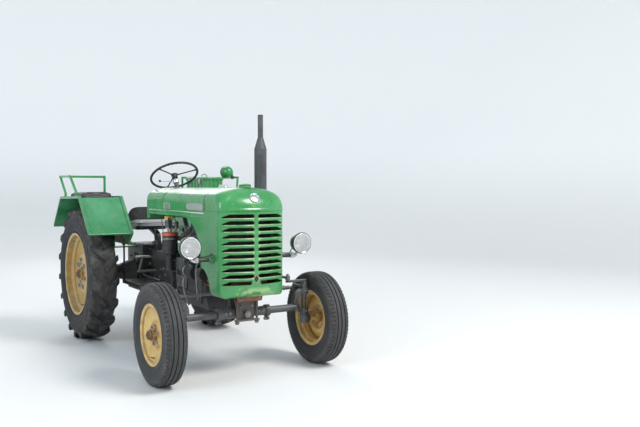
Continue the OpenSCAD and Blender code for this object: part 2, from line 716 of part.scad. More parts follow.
// Radiator behind the nose, with its shroud, and the fan on the engine's front
radiator_front = 20;
radiator_rear = 95;
radiator_half_w = 215;
radiator_top = 1290;
header_l = 105;
header_h = 80;
hose_r = 26;
shroud_rear = 150;
shroud_side = 10;
fan_r = 195;
fan_clear = 12;
module radiator() color(iron) at_axle() {
    header_z = radiator_top + header_h / 2 - 1;
    shroud_half = radiator_half_w + shroud_side;
    block([-radiator_half_w, radiator_front, bolster_top], [radiator_half_w, radiator_rear, radiator_top]);
    along_x(25 - radiator_half_w, 2 * radiator_half_w - 50)
        translate([(radiator_front + radiator_rear) / 2, header_z]) rounded(header_l, header_h, 24);
    pin_y(0, radiator_rear - 1, shroud_rear - radiator_rear + 5, radiator_top - 55, hose_r);
    difference() {
        block([-shroud_half, radiator_rear, fan_z - shroud_half + shroud_side], [shroud_half, shroud_rear,
            fan_z + shroud_half - shroud_side]);
        pin_y(0, radiator_rear - 1, shroud_rear - radiator_rear + 45, fan_z, fan_r + fan_clear);
    }
}

fan_y = 205;
fan_pulley_r = 66;
module fan() color(iron) at_axle() {
    for (blade = [0:4]) translate([0, fan_y, fan_z]) rotate([0, blade * 72, 0]) translate([-35, -10, 20])
        rotate([0, 0, 22]) cube([70, 5, fan_r - 20]);
    pin_y(0, fan_y - 20, pump_face - fan_y + 20, fan_z, 34);
    pin_y(0, pulley_y, pulley_w, fan_z, fan_pulley_r);
}

// Hood, with the section of the nose less the sheet and a seam
hood_half_w = nose_half_w - sheet - seat_gap;
hood_crown = hood_top - sheet - seat_gap;
hood_front = nose_seam - 22;
module hood() color(green) at_axle() difference() {
    along_y(hood_front, hood_rear - hood_front) hood_section(hood_half_w, hood_crown, hood_low);
    along_y(hood_front - 1, hood_rear - hood_front + 2)
        hood_section(hood_half_w - sheet, hood_crown - sheet, hood_low - 1);
    along_column(20, 700, column_r + seat_gap);
}

tank_front = 520;
tank_rear = 1090;
tank_low = hood_low + 5;
module fuel_tank() color(green) at_axle()
    along_y(tank_front, tank_rear - tank_front)
        hood_section(hood_half_w - sheet - seat_gap, hood_crown - sheet - seat_gap, tank_low);

// Instrument panel that closes the hood's rear, with two dial rims
dash_rear = 1350;
wheel_hub = [0, 1367, 1520];
column_r = 20;
dial_r = 42;
module along_column(from, to, r) translate(wheel_hub) rotate([-wheel_lean, 0, 0])
    translate([0, 0, -to]) cylinder(h = to - from, r = r);

module dashboard() color(green) at_axle() difference() {
    union() {
        along_y(hood_rear + seat_gap, dash_rear - hood_rear) hood_section(hood_half_w, hood_crown, hood_low - 40);
        for (side = [-1, 1]) pin_y(side * 130, dash_rear, 10, shoulder_z - 10, dial_r);
    }
    along_column(20, 700, column_r + seat_gap);
    for (side = [-1, 1]) pin_y(side * 130, dash_rear + 4, 10, shoulder_z - 10, dial_r - 6);
}

module filler_caps() color(steel) at_axle() {
    translate([0, -40, hood_top]) cylinder(h = 18, r = 46);
    translate([0, -40, hood_top + 17]) cylinder(h = 9, r1 = 46, r2 = 30);
    translate([0, 330, hood_crown]) cylinder(h = 24, r = 38);
}

// Steering column and wheel
column_top = 45;
column_end = (wheel_hub[2] - box_top - column_r * sin(wheel_lean) - seat_gap) / cos(wheel_lean);
shaft_r = 9;
shaft_in = 150;
module steering_column() color(iron) at_axle() difference() {
    along_column(column_top, column_end, column_r);
    along_column(column_top - 1, column_top + shaft_in + 5, shaft_r + run_gap);
}

wheel_grip = 11;
spoke_r = 6;
module steering_wheel() color(pad_black) at_axle() translate(wheel_hub) rotate([-wheel_lean, 0, 0]) {
    rotate_extrude($fn = 96) translate([wheel_r - wheel_grip, 0]) circle(r = wheel_grip, $fn = 24);
    translate([0, 0, -30]) cylinder(h = 42, r = 26);
    translate([0, 0, -column_top - shaft_in]) cylinder(h = column_top + shaft_in - 20, r = shaft_r);
    for (spoke = [0:2]) rotate([0, 0, 90 + 120 * spoke]) rotate([0, 90, 0])
        cylinder(h = wheel_r - wheel_grip, r = spoke_r);
}

// Exhaust: manifold along the head, elbow and upright silencer beside the hood
manifold_x = head_half_w + 62;
manifold_z = head_low + 52;
manifold_r = 27;
pipe_r = 22;
muffler_r = 51;
muffler_low = 1250;
muffler_top = 1730;
taper_h = 95;
module exhaust() color(iron) at_axle() {
    port_x = head_half_w + seat_gap;
    pin_y(manifold_x, stack_y - 35, first_bore + (cylinders - 1) * bore_pitch - stack_y + 65, manifold_z, manifold_r);
    for (i = [0:cylinders - 1]) {
        pin_x(port_x, manifold_x - port_x, first_bore + i * bore_pitch, manifold_z, 20);
        pin_x(port_x, 10, first_bore + i * bore_pitch, manifold_z, 31);
    }
    pin_x(manifold_x, stack_x - manifold_x, stack_y, manifold_z, pipe_r);
    translate([stack_x, stack_y, manifold_z]) sphere(r = pipe_r + 2);
    translate([stack_x, stack_y, 0]) {
        translate([0, 0, manifold_z]) cylinder(h = muffler_low - manifold_z, r = pipe_r);
        translate([0, 0, muffler_low - 40]) cylinder(h = 41, r1 = pipe_r + 2, r2 = muffler_r);
        translate([0, 0, muffler_low]) cylinder(h = muffler_top - muffler_low, r = muffler_r);
        translate([0, 0, muffler_top - 1]) cylinder(h = taper_h, r1 = muffler_r, r2 = pipe_r + 1);
        translate([0, 0, muffler_top + taper_h - 2]) cylinder(h = stack_top - muffler_top - taper_h + 2, r = pipe_r);
    }
}

// Air filter: oil-bath pot with its lid, the pipe below and the bracket to the block
filter_y = 850;
filter_low = 860;
filter_h = 150;
lid_h = 26;
filter_pipe_r = 33;
module air_filter() color(iron) at_axle() {
    translate([-filter_x, filter_y, filter_low]) cylinder(h = filter_h, r = filter_r);
    translate([-filter_x, filter_y, filter_low + filter_h - 1]) cylinder(h = lid_h, r = filter_r + 4);
    translate([-filter_x, filter_y, filter_low + filter_h + lid_h - 2]) cylinder(h = 10, r = 12);
    translate([-filter_x, filter_y, 715]) cylinder(h = filter_low - 714, r = filter_pipe_r);
    translate([-filter_x, filter_y, filter_low - 12]) cylinder(h = 13, r1 = filter_pipe_r + 4, r2 = filter_r - 4);
    block([-filter_x + 30, filter_y - 14, filter_low + 10], [-engine_half_w - seat_gap, filter_y + 14, filter_low + 46]);
}

// Fuel: injection pump on the block's right side, and the filter under the tank
pump_y = 615;
pump_length = 160;
pump_low = 732;
filter_bowl_r = 30;
module fuel_pump() color(iron) at_axle() {
    block([-engine_half_w - 78, pump_y, pump_low], [-engine_half_w - 8 - seat_gap, pump_y + pump_length, pump_low + 100]);
    pin_y(-engine_half_w - 46, pump_y - 20, pump_length + 50, pump_low + 40, 30);
    for (i = [0:cylinders - 1])
        translate([-engine_half_w - 46, pump_y + 26 + i * 36, pump_low + 99]) cylinder(h = 34, r = 10);
    translate([-200, 1000, tank_low - seat_gap - 24]) cylinder(h = 24, r = 12);
    translate([-200, 1000, tank_low - 50]) cylinder(h = 28, r = filter_bowl_r + 4);
    translate([-200, 1000, tank_low - 130]) cylinder(h = 82, r = filter_bowl_r);
}

// Generator on the right side with its pulley, and the starter on the left
generator_y = 400;
generator_x = -205;
generator_z = 740;
generator_r = 54;
module generator() color(iron) at_axle() {
    pin_y(generator_x, generator_y, 190, generator_z, generator_r);
    for (y = [generator_y + 12, generator_y + 166]) pin_y(generator_x, y, 12, generator_z, generator_r + 4);
    pin_y(generator_x, pulley_y, pulley_w, generator_z, 46);
    pin_y(generator_x, pulley_y + pulley_w - 1, generator_y - pulley_y - pulley_w + 2, generator_z, 12);
    block([generator_x + 20, generator_y + 30, generator_z + 30],
        [-engine_half_w - seat_gap, generator_y + 52, generator_z + 52]);
    pin_y(engine_half_w + 64, engine_rear - 250, 249, 640, 46);
    pin_y(engine_half_w + 44, engine_rear - 200, 170, 715, 24);
    block([engine_half_w + 30, engine_rear - 200, 640], [engine_half_w + 60, engine_rear - 40, 715]);
}

// Headlights on stub arms beside the nose
lamp_y = -100;
lamp_drawn_r = 84;
lamp_scale = lamp_r / lamp_drawn_r;
// Columns: radius, depth behind the rim's face, for a rim of lamp_drawn_r
lamp_form = [[0, 108], [16, 107], [34, 101], [52, 89], [66, 70], [75, 46], [79, 22], [84, 22], [84, -6],
    [77, -6], [77, 4], [0, 4]];
module headlights() color(green) at_axle() for (side = [-1, 1]) {
    elbow = [side * (lamp_x - 55), lamp_y + 50, lamp_z - 96];
    translate([side * lamp_x, lamp_y, lamp_z]) rotate([-90, 0, 0])
        scale(lamp_scale) rotate_extrude($fn = 64) polygon(lamp_form);
    bar([side * lamp_x, lamp_y + 45, lamp_z - 66], elbow, 14);
    translate(elbow) sphere(r = 19);
    bar(elbow, [side * (nose_half_w + seat_gap), elbow[1], elbow[2]], 12);
    bar([side * (nose_half_w + 40), elbow[1], elbow[2]], [side * (nose_half_w + seat_gap), elbow[1], elbow[2]], 20);
}

module headlight_glass() color(glass) at_axle() for (side = [-1, 1])
    translate([side * lamp_x, lamp_y, lamp_z]) rotate([-90, 0, 0]) translate([0, 0, -4])
        cylinder(h = 7.7, r = 76.5 * lamp_scale);

// Rear fenders: a folded sheet over the wheel with rolled edges, and an inner wall.
// The side line is drawn from the lower front edge over the flat top to the rear edge.
fender_fall = 12;
fender_line = [[wheelbase - 622, 1009], [wheelbase - 320, fender_top],
    [wheelbase + 325, fender_top - fender_fall], [wheelbase + 598, 1030]];
function fender_z(y) = fender_top - fender_fall * (y - fender_line[1][0]) / (fender_line[2][0] - fender_line[1][0]);
function on_fender(y0, y1, h) = [[y0, fender_z(y0) + seat_gap], [y1, fender_z(y1) + seat_gap],
    [y1, fender_z(y1) + h], [y0, fender_z(y0) + h]];
fender_t = 5;
bead_h = 14;
bead_w = 26;
fender_wall_low = 900;
fender_bracket_x = trumpet_end - 320;
module fender_band(up, down) polygon(concat(shifted(fender_line, up), reversed(shifted(fender_line, -down))));
module fender(side) {
    left = side > 0;
    along_x(left ? fender_in : -fender_out, fender_out - fender_in) fender_band(0, fender_t);
    for (low = left ? [fender_in, fender_out - bead_w] : [-fender_out, -fender_in - bead_w])
        along_x(low, bead_w) fender_band(bead_h, fender_t + 3);
    along_x(left ? fender_in : -fender_in - fender_t, fender_t)
        polygon(concat(shifted(fender_line, -fender_t + 1),
            [[wheelbase + 530, fender_wall_low], [wheelbase - 500, fender_wall_low]]));
    block([left ? fender_bracket_x : -fender_in, wheelbase - 60, fender_wall_low - 60],
        [left ? fender_in : -fender_bracket_x, wheelbase + 60, fender_wall_low - 48]);
    block([left ? fender_in - 12 : -fender_in, wheelbase - 60, fender_wall_low - 60],
        [left ? fender_in : -fender_in + 12, wheelbase + 60, fender_wall_low + 40]);
}
module fender_left() color(green) at_axle() fender(1);
module fender_right() color(green) at_axle() fender(-1);

// Handrails on the fenders
rail_r = 11;
rail_rise = 192;
rail_top = fender_top + rail_rise;
rail_out_x = fender_out - 13;
rail_foot_x = fender_out - 35;
rail_in_x = fender_in + 20;
// Offsets from the rear axle: front foot, rear foot, front corner, rear corner, cross tube
right_rail = [-130, 260, 0, 360, 155];
box_start = -230;
box_length = 490;
left_cross = box_start + box_length + rail_r + 17;
left_rail = [-290, left_cross - 28, -270, left_cross + 12, left_cross];
module rail_run(points) for (i = [0:len(points) - 2]) {
    bar(points[i], points[i + 1], rail_r);
    if (i > 0) translate(points[i]) sphere(r = rail_r + 1.2);
}
rail_foot = 30;
module handrail(side, run) {
    function foot(x, y) = [side * x, y, fender_z(y) + bead_h + seat_gap];
    function above(q) = q + [0, 0, rail_foot];
    function rail(x, y) = [side * x, y, rail_top];
    front = foot(rail_foot_x, wheelbase + run[0]);
    rear = foot(rail_foot_x, wheelbase + run[1]);
    cross_y = wheelbase + run[4];
    rail_run([front, above(front), rail(rail_out_x, wheelbase + run[2]),
        rail(rail_out_x, wheelbase + run[3]), above(rear), rear]);
    rail_run([rail(rail_out_x, cross_y), rail(rail_in_x, cross_y), foot(rail_in_x, cross_y)]);
}
module handrail_left() color(green) at_axle() handrail(1, left_rail);
module handrail_right() color(green) at_axle() handrail(-1, right_rail);

// Pad on the right fender, seated between the beads
pad_inset = 65;
pad_thick = 50;
module fender_cushion() color(pad_black) at_axle()
    along_x(-fender_out + pad_inset, fender_out - fender_in - pad_inset - 45)
        polygon(on_fender(wheelbase - 190, wheelbase + 250, pad_thick));

// Box on the left fender with pressed ribs and a flange under its lid
box_x = fender_in + 45;
box_w = 200;
box_front = wheelbase + box_start;
box_height = 193;
module tool_box() color(green) at_axle() intersection() {
    union() {
        translate([box_x + box_w / 2, box_front + box_length / 2, fender_z(wheelbase) - 20]) {
            linear_extrude(box_height + 20) rounded(box_w, box_length, 34);
            translate([0, 0, box_height - 8]) linear_extrude(10) rounded(box_w + 14, box_length + 14, 40);
            for (side = [-1, 1]) {
                for (i = [-2:2]) translate([side * box_w / 2, i * 80, 0]) cylinder(h = box_height - 6, r = 9);
                for (i = [-1:1]) translate([i * 48, side * box_length / 2, 0]) cylinder(h = box_height - 6, r = 9);
            }
        }
    }
    along_x(box_x - 30, box_w + 60) polygon(on_fender(box_front - 30, box_front + box_length + 30, box_height + 12));
}

// Lamp at the left handrail that lights the work behind
work_lamp_x = rail_out_x - 59;
work_lamp_y = wheelbase - 145;
work_lamp_z = 1565;
work_lamp_r = 66;
module work_lamp() color(green) at_axle() {
    translate([work_lamp_x, work_lamp_y, work_lamp_z]) rotate([-90, 0, 0]) rotate_extrude($fn = 64)
        polygon([[0, -52], [18, -50], [38, -40], [54, -20], [62, 6], [work_lamp_r, 6], [work_lamp_r, 22], [0, 22]]);
    bar([rail_out_x, work_lamp_y - 5, rail_top + rail_r + seat_gap],
        [rail_out_x, work_lamp_y - 5, work_lamp_z + 7], 8);
    bar([work_lamp_x + 40, work_lamp_y - 5, work_lamp_z], [rail_out_x, work_lamp_y - 5, work_lamp_z], 9);
}

// Driver's seat: a pressed pan with its back, on a leaf spring over the axle housing
seat_z = 1010;
seat_front = wheelbase - 170;
seat_back = wheelbase + 180;
seat_half_w = 215;
pan_t = 12;
spring_half_w = 30;
module driver_seat() color(iron) at_axle() {
    along_x(-seat_half_w, 2 * seat_half_w) polygon([[seat_front, seat_z], [seat_back, seat_z],
        [seat_back, seat_z + pan_t], [seat_front, seat_z + pan_t]]);
    along_x(-seat_half_w + 10, 2 * seat_half_w - 20) polygon([[seat_back - pan_t, seat_z + pan_t - 1],
        [seat_back, seat_z + pan_t - 1], [seat_back + 22, seat_z + 150], [seat_back + 26, seat_z + 200],
        [seat_back + 14, seat_z + 200], [seat_back + 10, seat_z + 150]]);
    along_x(-spring_half_w, 2 * spring_half_w) polygon([[seat_front + 30, axle_house_top + seat_gap],
        [seat_front + 110, axle_house_top + seat_gap], [seat_front + 110, axle_house_top + 18],
        [seat_front + 48, axle_house_top + 30], [seat_front + 60, axle_house_top + 80],
        [seat_front + 200, seat_z - 14], [seat_front + 230, seat_z + 1], [seat_front + 150, seat_z + 1],
        [seat_front + 44, axle_house_top + 96], [seat_front + 30, axle_house_top + 60]]);
}

cushion_top = seat_z + 80;
module seat_cushion() color(pad_black) at_axle()
    translate([0, (seat_front + seat_back - pan_t) / 2 - 2, seat_z + pan_t + seat_gap])
        linear_extrude(cushion_top - seat_z - pan_t - seat_gap)
            rounded(2 * seat_half_w - 30, seat_back - seat_front - pan_t - 12, 40);

// Footplates beside the gearbox, each held at the back by a rod under the fender's wall
foot_low = 560;
foot_t = 6;
foot_length = 460;
foot_rear = wheelbase - 290;
foot_front = foot_rear - foot_length;
foot_out = fender_in - 5;
brace_y = wheelbase - 320;
module footplates() color(green) at_axle() for (side = [-1, 1]) {
    inner = gear_half_w + gear_cover_t + seat_gap;
    block([side > 0 ? inner : -foot_out, foot_front, foot_low], [side > 0 ? foot_out : -inner, foot_rear, foot_low + foot_t]);
    block([side > 0 ? foot_out - 5 : -foot_out, foot_front, foot_low - 24],
        [side > 0 ? foot_out : -foot_out + 5, foot_rear, foot_low + 1]);
    translate([side * (fender_in - 12), brace_y, foot_low + 2])
        cylinder(h = fender_wall_low - seat_gap - foot_low - 2, r = 8);
    block([side > 0 ? fender_in - 22 : -fender_in - 4, brace_y - 12, fender_wall_low - 12],
        [side > 0 ? fender_in + 4 : -fender_in + 22, brace_y + 12, fender_wall_low - seat_gap]);
}

// Pedals: one each side on a cross shaft from the gearbox
pedal_y = wheelbase - 560;
pedal_x = 300;
shaft_z = 650;
pad_z = 790;
module pedals() color(iron) at_axle() for (side = [-1, 1]) {
    shaft_from = gear_half_w + seat_gap;
    pin_x(side > 0 ? shaft_from : -pedal_x - 14, pedal_x + 14 - shaft_from, pedal_y + 110, shaft_z, 13);
    bar([side * pedal_x, pedal_y + 110, shaft_z], [side * pedal_x, pedal_y + 6, pad_z - 2], 11);
    block([side * pedal_x - 66, pedal_y - 32, pad_z - 5], [side * pedal_x + 66, pedal_y + 32, pad_z + 6]);
}

// Gear lever and hand lever, each through a boss on the gearbox's lid
gear_lever = [0, wheelbase - 480];
hand_lever = [-100, wheelbase - 380];
module levers() color(iron) at_axle() {
    knob = [gear_lever[0] + 40, gear_lever[1] - 30, 1080];
    grip = [hand_lever[0] - 20, hand_lever[1] - 10, 1020];
    hand_foot = [hand_lever[0], hand_lever[1], gear_top + 10];
    translate([gear_lever[0], gear_lever[1], gear_top + seat_gap]) cylinder(h = 26, r = 24);
    bar([gear_lever[0], gear_lever[1], gear_top + 10], knob, 9);
    translate(knob) sphere(r = 20);
    translate([hand_lever[0], hand_lever[1], gear_top + seat_gap]) cylinder(h = 26, r = 20);
    bar(hand_foot, hand_foot + (grip - hand_foot) * 0.6, 8);
    bar(hand_foot + (grip - hand_foot) * 0.5, grip, 13);
}

// Tow jaw and take-off shaft at the rear
jaw_rear = axle_house_rear + jaw_length;
jaw_gap = 38;
jaw_t = 24;
plate_t = 40;
take_off_r = 17.45;
take_off_z = 780;
module rear_hitch() color(iron) at_axle() {
    difference() {
        union() {
            block([-60, axle_house_rear, jaw_z - 70], [60, axle_house_rear + plate_t, jaw_z + 70]);
            for (low = [jaw_z - jaw_gap - jaw_t, jaw_z + jaw_gap]) translate([0, 0, low]) linear_extrude(jaw_t) union() {
                translate([-50, axle_house_rear + plate_t - 1]) square([100, jaw_length - plate_t - 49]);
                translate([0, jaw_rear - 50]) circle(r = 50);
            }
        }
        translate([0, jaw_rear - 50, jaw_z - 80]) cylinder(h = 160, r = tow_bore_r);
    }
    pin_y(0, axle_house_rear, 110, take_off_z, take_off_r);
    pin_y(0, axle_house_rear, 16, take_off_z, 48);
}

engine_block();
cylinder_head();
gearbox();
rear_axle();
front_bolster();
front_axle();
nose();
radiator();
hood();
fuel_tank();
exhaust();
air_filter();
fuel_pump();
fan();
generator();
filler_caps();
dashboard();
steering_box();
steering_column();
steering_wheel();
headlights();
headlight_glass();
fender_left();
fender_right();
handrail_left();
handrail_right();
fender_cushion();
tool_box();
work_lamp();
driver_seat();
seat_cushion();
footplates();
pedals();
levers();
rear_hitch();
knuckle_left();
knuckle_right();
front_rim_left();
front_rim_right();
front_tyre_left();
front_tyre_right();
tie_rod();
drag_link();
drop_arm_lever();
rear_rim_left();
rear_rim_right();
rear_tyre_left();
rear_tyre_right();
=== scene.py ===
# %% [markdown]
# # A vintage tractor, dressed on its CAD frame
# The CAD model gives every size and every joint. This notebook gives it its looks: worn green
# enamel, ochre wheels, weathered rubber, greasy castings, lamps with real reflectors, bolts,
# pipes and padded seats. Each step first says what the real piece is and why it is made so.

# %% Load the frame
import bpy
import bmesh
import json
import math
from mathutils import Matrix, Vector


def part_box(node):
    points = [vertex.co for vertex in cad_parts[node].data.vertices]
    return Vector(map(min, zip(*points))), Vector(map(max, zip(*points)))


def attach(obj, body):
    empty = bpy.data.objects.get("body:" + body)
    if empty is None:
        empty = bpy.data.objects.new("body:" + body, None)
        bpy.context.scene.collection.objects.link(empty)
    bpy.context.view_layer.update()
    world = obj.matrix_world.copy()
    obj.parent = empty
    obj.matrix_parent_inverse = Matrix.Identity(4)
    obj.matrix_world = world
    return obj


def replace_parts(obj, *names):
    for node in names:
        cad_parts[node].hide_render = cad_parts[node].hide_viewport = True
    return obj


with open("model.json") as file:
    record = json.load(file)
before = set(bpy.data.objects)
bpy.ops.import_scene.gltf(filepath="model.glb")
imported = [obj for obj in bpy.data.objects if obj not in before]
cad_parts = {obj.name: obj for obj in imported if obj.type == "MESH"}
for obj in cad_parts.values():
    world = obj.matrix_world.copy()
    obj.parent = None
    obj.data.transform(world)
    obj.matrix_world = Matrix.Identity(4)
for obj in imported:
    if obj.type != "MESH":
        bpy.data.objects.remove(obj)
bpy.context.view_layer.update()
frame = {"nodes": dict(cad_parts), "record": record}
nodes = frame["nodes"]

# %% [markdown]
# ## Places on the tractor
# Tractor builders measure along the machine from the front axle. The middle of the front tyre
# gives that axle, so a place can be written as: distance to the left, distance behind the front
# axle, and height. The wheels' places are read from the frame, the others measured on the model.

# %% Stations from the front axle
low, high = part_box("front_tyre_left")
front_wheel = (low + high) / 2
low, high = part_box("rear_tyre_left")
rear_wheel = (low + high) / 2
front_tyre_r = front_wheel.z
rear_tyre_r = rear_wheel.z
SIDES = {"left": 1, "right": -1}
LEFT, RIGHT = Vector((1, 0, 0)), Vector((-1, 0, 0))
FRONT, BACK = Vector((0, -1, 0)), Vector((0, 1, 0))
UP, DOWN = Vector((0, 0, 1)), Vector((0, 0, -1))
ORIGIN = Vector((0, 0, 0))


def at(x, y, z):
    return Vector((x, y + front_wheel.y, z))


wheelbase = rear_wheel.y - front_wheel.y
print("wheelbase", round(wheelbase, 3), "front wheel", [round(v, 3) for v in front_wheel])

# %% [markdown]
# ## Working by hand, in code
# Blender's operators act on whatever is selected, just as they do under the mouse. So every step
# begins with nothing selected, picks its object, works in edit mode, and leaves it again.
# A finished piece keeps its place in its mesh, so its object is put back at the origin.

# %% Helpers for selecting and finishing
def nothing_selected():
    if bpy.context.object and bpy.context.object.mode != "OBJECT":
        bpy.ops.object.mode_set(mode="OBJECT")
    bpy.ops.object.select_all(action="DESELECT")


def only(obj):
    nothing_selected()
    obj.select_set(True)
    bpy.context.view_layer.objects.active = obj


def edit(obj, kind="FACE"):
    only(obj)
    bpy.ops.object.mode_set(mode="EDIT")
    bpy.ops.mesh.select_mode(type=kind)
    bpy.ops.mesh.select_all(action="DESELECT")
    return bmesh.from_edit_mesh(obj.data)


def edit_all(obj, kind="FACE"):
    edit(obj, kind)
    bpy.ops.mesh.select_all(action="SELECT")


def leave_edit():
    bpy.ops.object.mode_set(mode="OBJECT")


def outward(obj, inside=False):
    edit_all(obj)
    bpy.ops.mesh.normals_make_consistent(inside=inside)
    leave_edit()


def pick(mesh, obj, parts, test):
    chosen = 0
    for part in parts:
        part.select_set(bool(test(part)))
        chosen += part.select
    mesh.select_flush_mode()
    bmesh.update_edit_mesh(obj.data)
    return chosen


def settled(obj):
    only(obj)
    bpy.ops.object.transform_apply(location=True, rotation=True, scale=True)
    return obj


def closed_up(obj, merge):
    edit_all(obj, "VERT")
    bpy.ops.mesh.remove_doubles(threshold=merge)
    bpy.ops.mesh.normals_make_consistent(inside=False)
    leave_edit()


def with_modifier(obj, kind, **settings):
    made = obj.modifiers.new(kind.title(), kind)
    for key, value in settings.items():
        setattr(made, key, value)
    only(obj)
    bpy.ops.object.modifier_apply(modifier=made.name)
    return obj


def block(middle, size, bevel=0, segments=2):
    nothing_selected()
    bpy.ops.mesh.primitive_cube_add(size=1, location=middle, scale=size)
    obj = settled(bpy.context.object)
    if bevel:
        with_modifier(obj, "BEVEL", width=bevel, segments=segments)
    return obj


def smooth(obj, degrees):
    only(obj)
    bpy.ops.object.shade_smooth_by_angle(angle=math.radians(degrees))


made = []
patterns = []


def finished(obj, name, finish, degrees=30, slot=None, body="chassis"):
    slot = slot or usual_slot[finish.name]
    obj.name = name
    obj.data.name = name
    settled(obj)
    smooth(obj, degrees)
    obj.data.materials.clear()
    obj.data.materials.append(finish)
    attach(obj, body)
    made.append(obj)
    return obj


def copied(obj):
    twin = obj.copy()
    twin.data = obj.data.copy()
    bpy.context.scene.collection.objects.link(twin)
    return twin


def plain(obj):
    obj.parent = None
    for key in list(obj.keys()):
        del obj[key]


def joined(objects):
    only(objects[0])
    for other in objects[1:]:
        other.select_set(True)
    bpy.ops.object.join()
    return objects[0]


# %% [markdown]
# ## Camera, floor and light
# The photograph was taken standing up, from the tractor's right front. Fitting lines of known
# size in it gave the camera's place and its lens, and the same camera is put here. The floor is a
# wide pale dish, so that no horizon cuts the picture, and the light is soft as in a studio.

# %% Camera
LEANS_DOWN, ROLL, HEADING = 2.08, -0.09, -32.85
SENSOR, LENS, FAR_END = 36, 41.41, 200
bpy.ops.object.camera_add(location=at(-2.53, -4.999, 1.419), rotation=(math.radians(90 - LEANS_DOWN),
    math.radians(ROLL), math.radians(HEADING)))
camera = bpy.context.object
camera.data.sensor_width = SENSOR
camera.data.lens = LENS
camera.data.clip_end = FAR_END
bpy.context.scene.camera = camera
bpy.context.scene.view_settings.view_transform = "Standard"

# %% [markdown]
# ## Shader maths in plain sums
# A finish is a small sum: base colour, plus grime where a pattern says so, minus gloss where it is
# worn. Wrapping a node's output in a class with the usual operators lets that be written as it
# is said, and each operator puts the matching Math node into the material.

# %% A finish and its values
class Value:
    def __init__(self, finish, link):
        self.finish = finish
        self.link = link

    def maths(self, operation, *values):
        return self.finish.node("ShaderNodeMath", {"operation": operation}, dict(enumerate(values)))

    def __add__(self, other):
        return self.maths("ADD", self, other)

    __radd__ = __add__

    def __mul__(self, other):
        return self.maths("MULTIPLY", self, other)

    __rmul__ = __mul__

    def __sub__(self, other):
        return self.maths("SUBTRACT", self, other)

    def __rsub__(self, other):
        return self.maths("SUBTRACT", other, self)

    def __truediv__(self, other):
        return self.maths("DIVIDE", self, other)

    def fraction(self):
        return self.maths("FRACT", self)

    def size(self):
        return self.maths("ABSOLUTE", self)

    def between(self, start, end):
        return self.finish.node("ShaderNodeMapRange", {"interpolation_type": "SMOOTHSTEP", "clamp": True},
            {0: self, 1: start, 2: end, 3: 0.0, 4: 1.0})


class Finish:
    def __init__(self, name):
        self.material = bpy.data.materials.new(name)
        self.material.use_nodes = True
        self.tree = self.material.node_tree
        self.tree.nodes.clear()
        self.place = self.node("ShaderNodeTexCoord", {}, {}, "Object")
        self.facing = self.node("ShaderNodeNewGeometry", {}, {}, "Normal")

    def node(self, kind, settings, inputs, output=0):
        made = self.tree.nodes.new(kind)
        for key, value in settings.items():
            setattr(made, key, value)
        for key, value in inputs.items():
            socket = made.inputs[key]
            if isinstance(value, Value):
                self.tree.links.new(value.link, socket)
            elif hasattr(value, "__len__") and len(value) == 3 and socket.type == "RGBA":
                socket.default_value = (*value, 1)
            else:
                socket.default_value = value
        return Value(self, made.outputs[output])

    def vectors(self, operation, a, b=(0, 0, 0), output=0):
        return self.node("ShaderNodeVectorMath", {"operation": operation}, {0: a, 1: b}, output)

    def noise(self, scale, detail, rough=0.55, stretch=(1, 1, 1)):
        where = self.place if stretch == (1, 1, 1) else self.vectors("MULTIPLY", self.place, stretch)
        return self.node("ShaderNodeTexNoise", {}, {"Vector": where, "Scale": scale, "Detail": detail,
            "Roughness": rough})

    def spots(self, scale, detail, rough, start, end):
        return self.noise(scale, detail, rough).between(start, end)

    def waves(self, direction, scale, distortion=0.0, profile="SIN"):
        settings = {"wave_type": "BANDS", "bands_direction": direction, "wave_profile": profile}
        return self.node("ShaderNodeTexWave", settings, {"Vector": self.place, "Scale": scale,
            "Distortion": distortion}, 1)

    def from_axle(self, wheel):
        across = self.vectors("SUBTRACT", self.place, (0, wheel.y, wheel.z))
        return self.vectors("LENGTH", self.vectors("MULTIPLY", across, (0, 1, 1)), output="Value")

    def axis(self, letter):
        return self.node("ShaderNodeSeparateXYZ", {}, {0: self.place}, letter)

    def up(self):
        return self.node("ShaderNodeSeparateXYZ", {}, {0: self.facing}, "Z")

    def rounded(self, radius):
        return self.node("ShaderNodeBevel", {"samples": 4}, {"Radius": radius})

    def edges(self, radius):
        return (1 - self.vectors("DOT_PRODUCT", self.rounded(radius), self.facing, "Value")) * 4.5

    def blend(self, factor, a, b):
        return self.node("ShaderNodeMix", {"data_type": "RGBA"}, {0: factor, 6: a, 7: b}, 2)

    def bump(self, height, strength, distance, normal=None):
        inputs = {"Strength": strength, "Distance": distance, "Height": height}
        if normal is not None:
            inputs["Normal"] = normal
        return self.node("ShaderNodeBump", {}, inputs)

    def surface(self, **inputs):
        shader = self.node("ShaderNodeBsdfPrincipled", {}, {key.replace("_", " "): value
            for key, value in inputs.items()})
        self.node_output(shader)
        return self.material

    def node_output(self, shader):
        out = self.tree.nodes.new("ShaderNodeOutputMaterial")
        self.tree.links.new(shader.link, out.inputs["Surface"])


# %% [markdown]
# ### Floor and light
# The dish is turned like a plate: a flat middle, a wide cove and a low wall. Its own colour makes
# the background pale, so no extra light is needed for that. One large lamp stands where the sun
# stood, before the tractor and to its left. A wide one fills from its right, a third shines from
# behind, and the sky is a soft blue-grey.

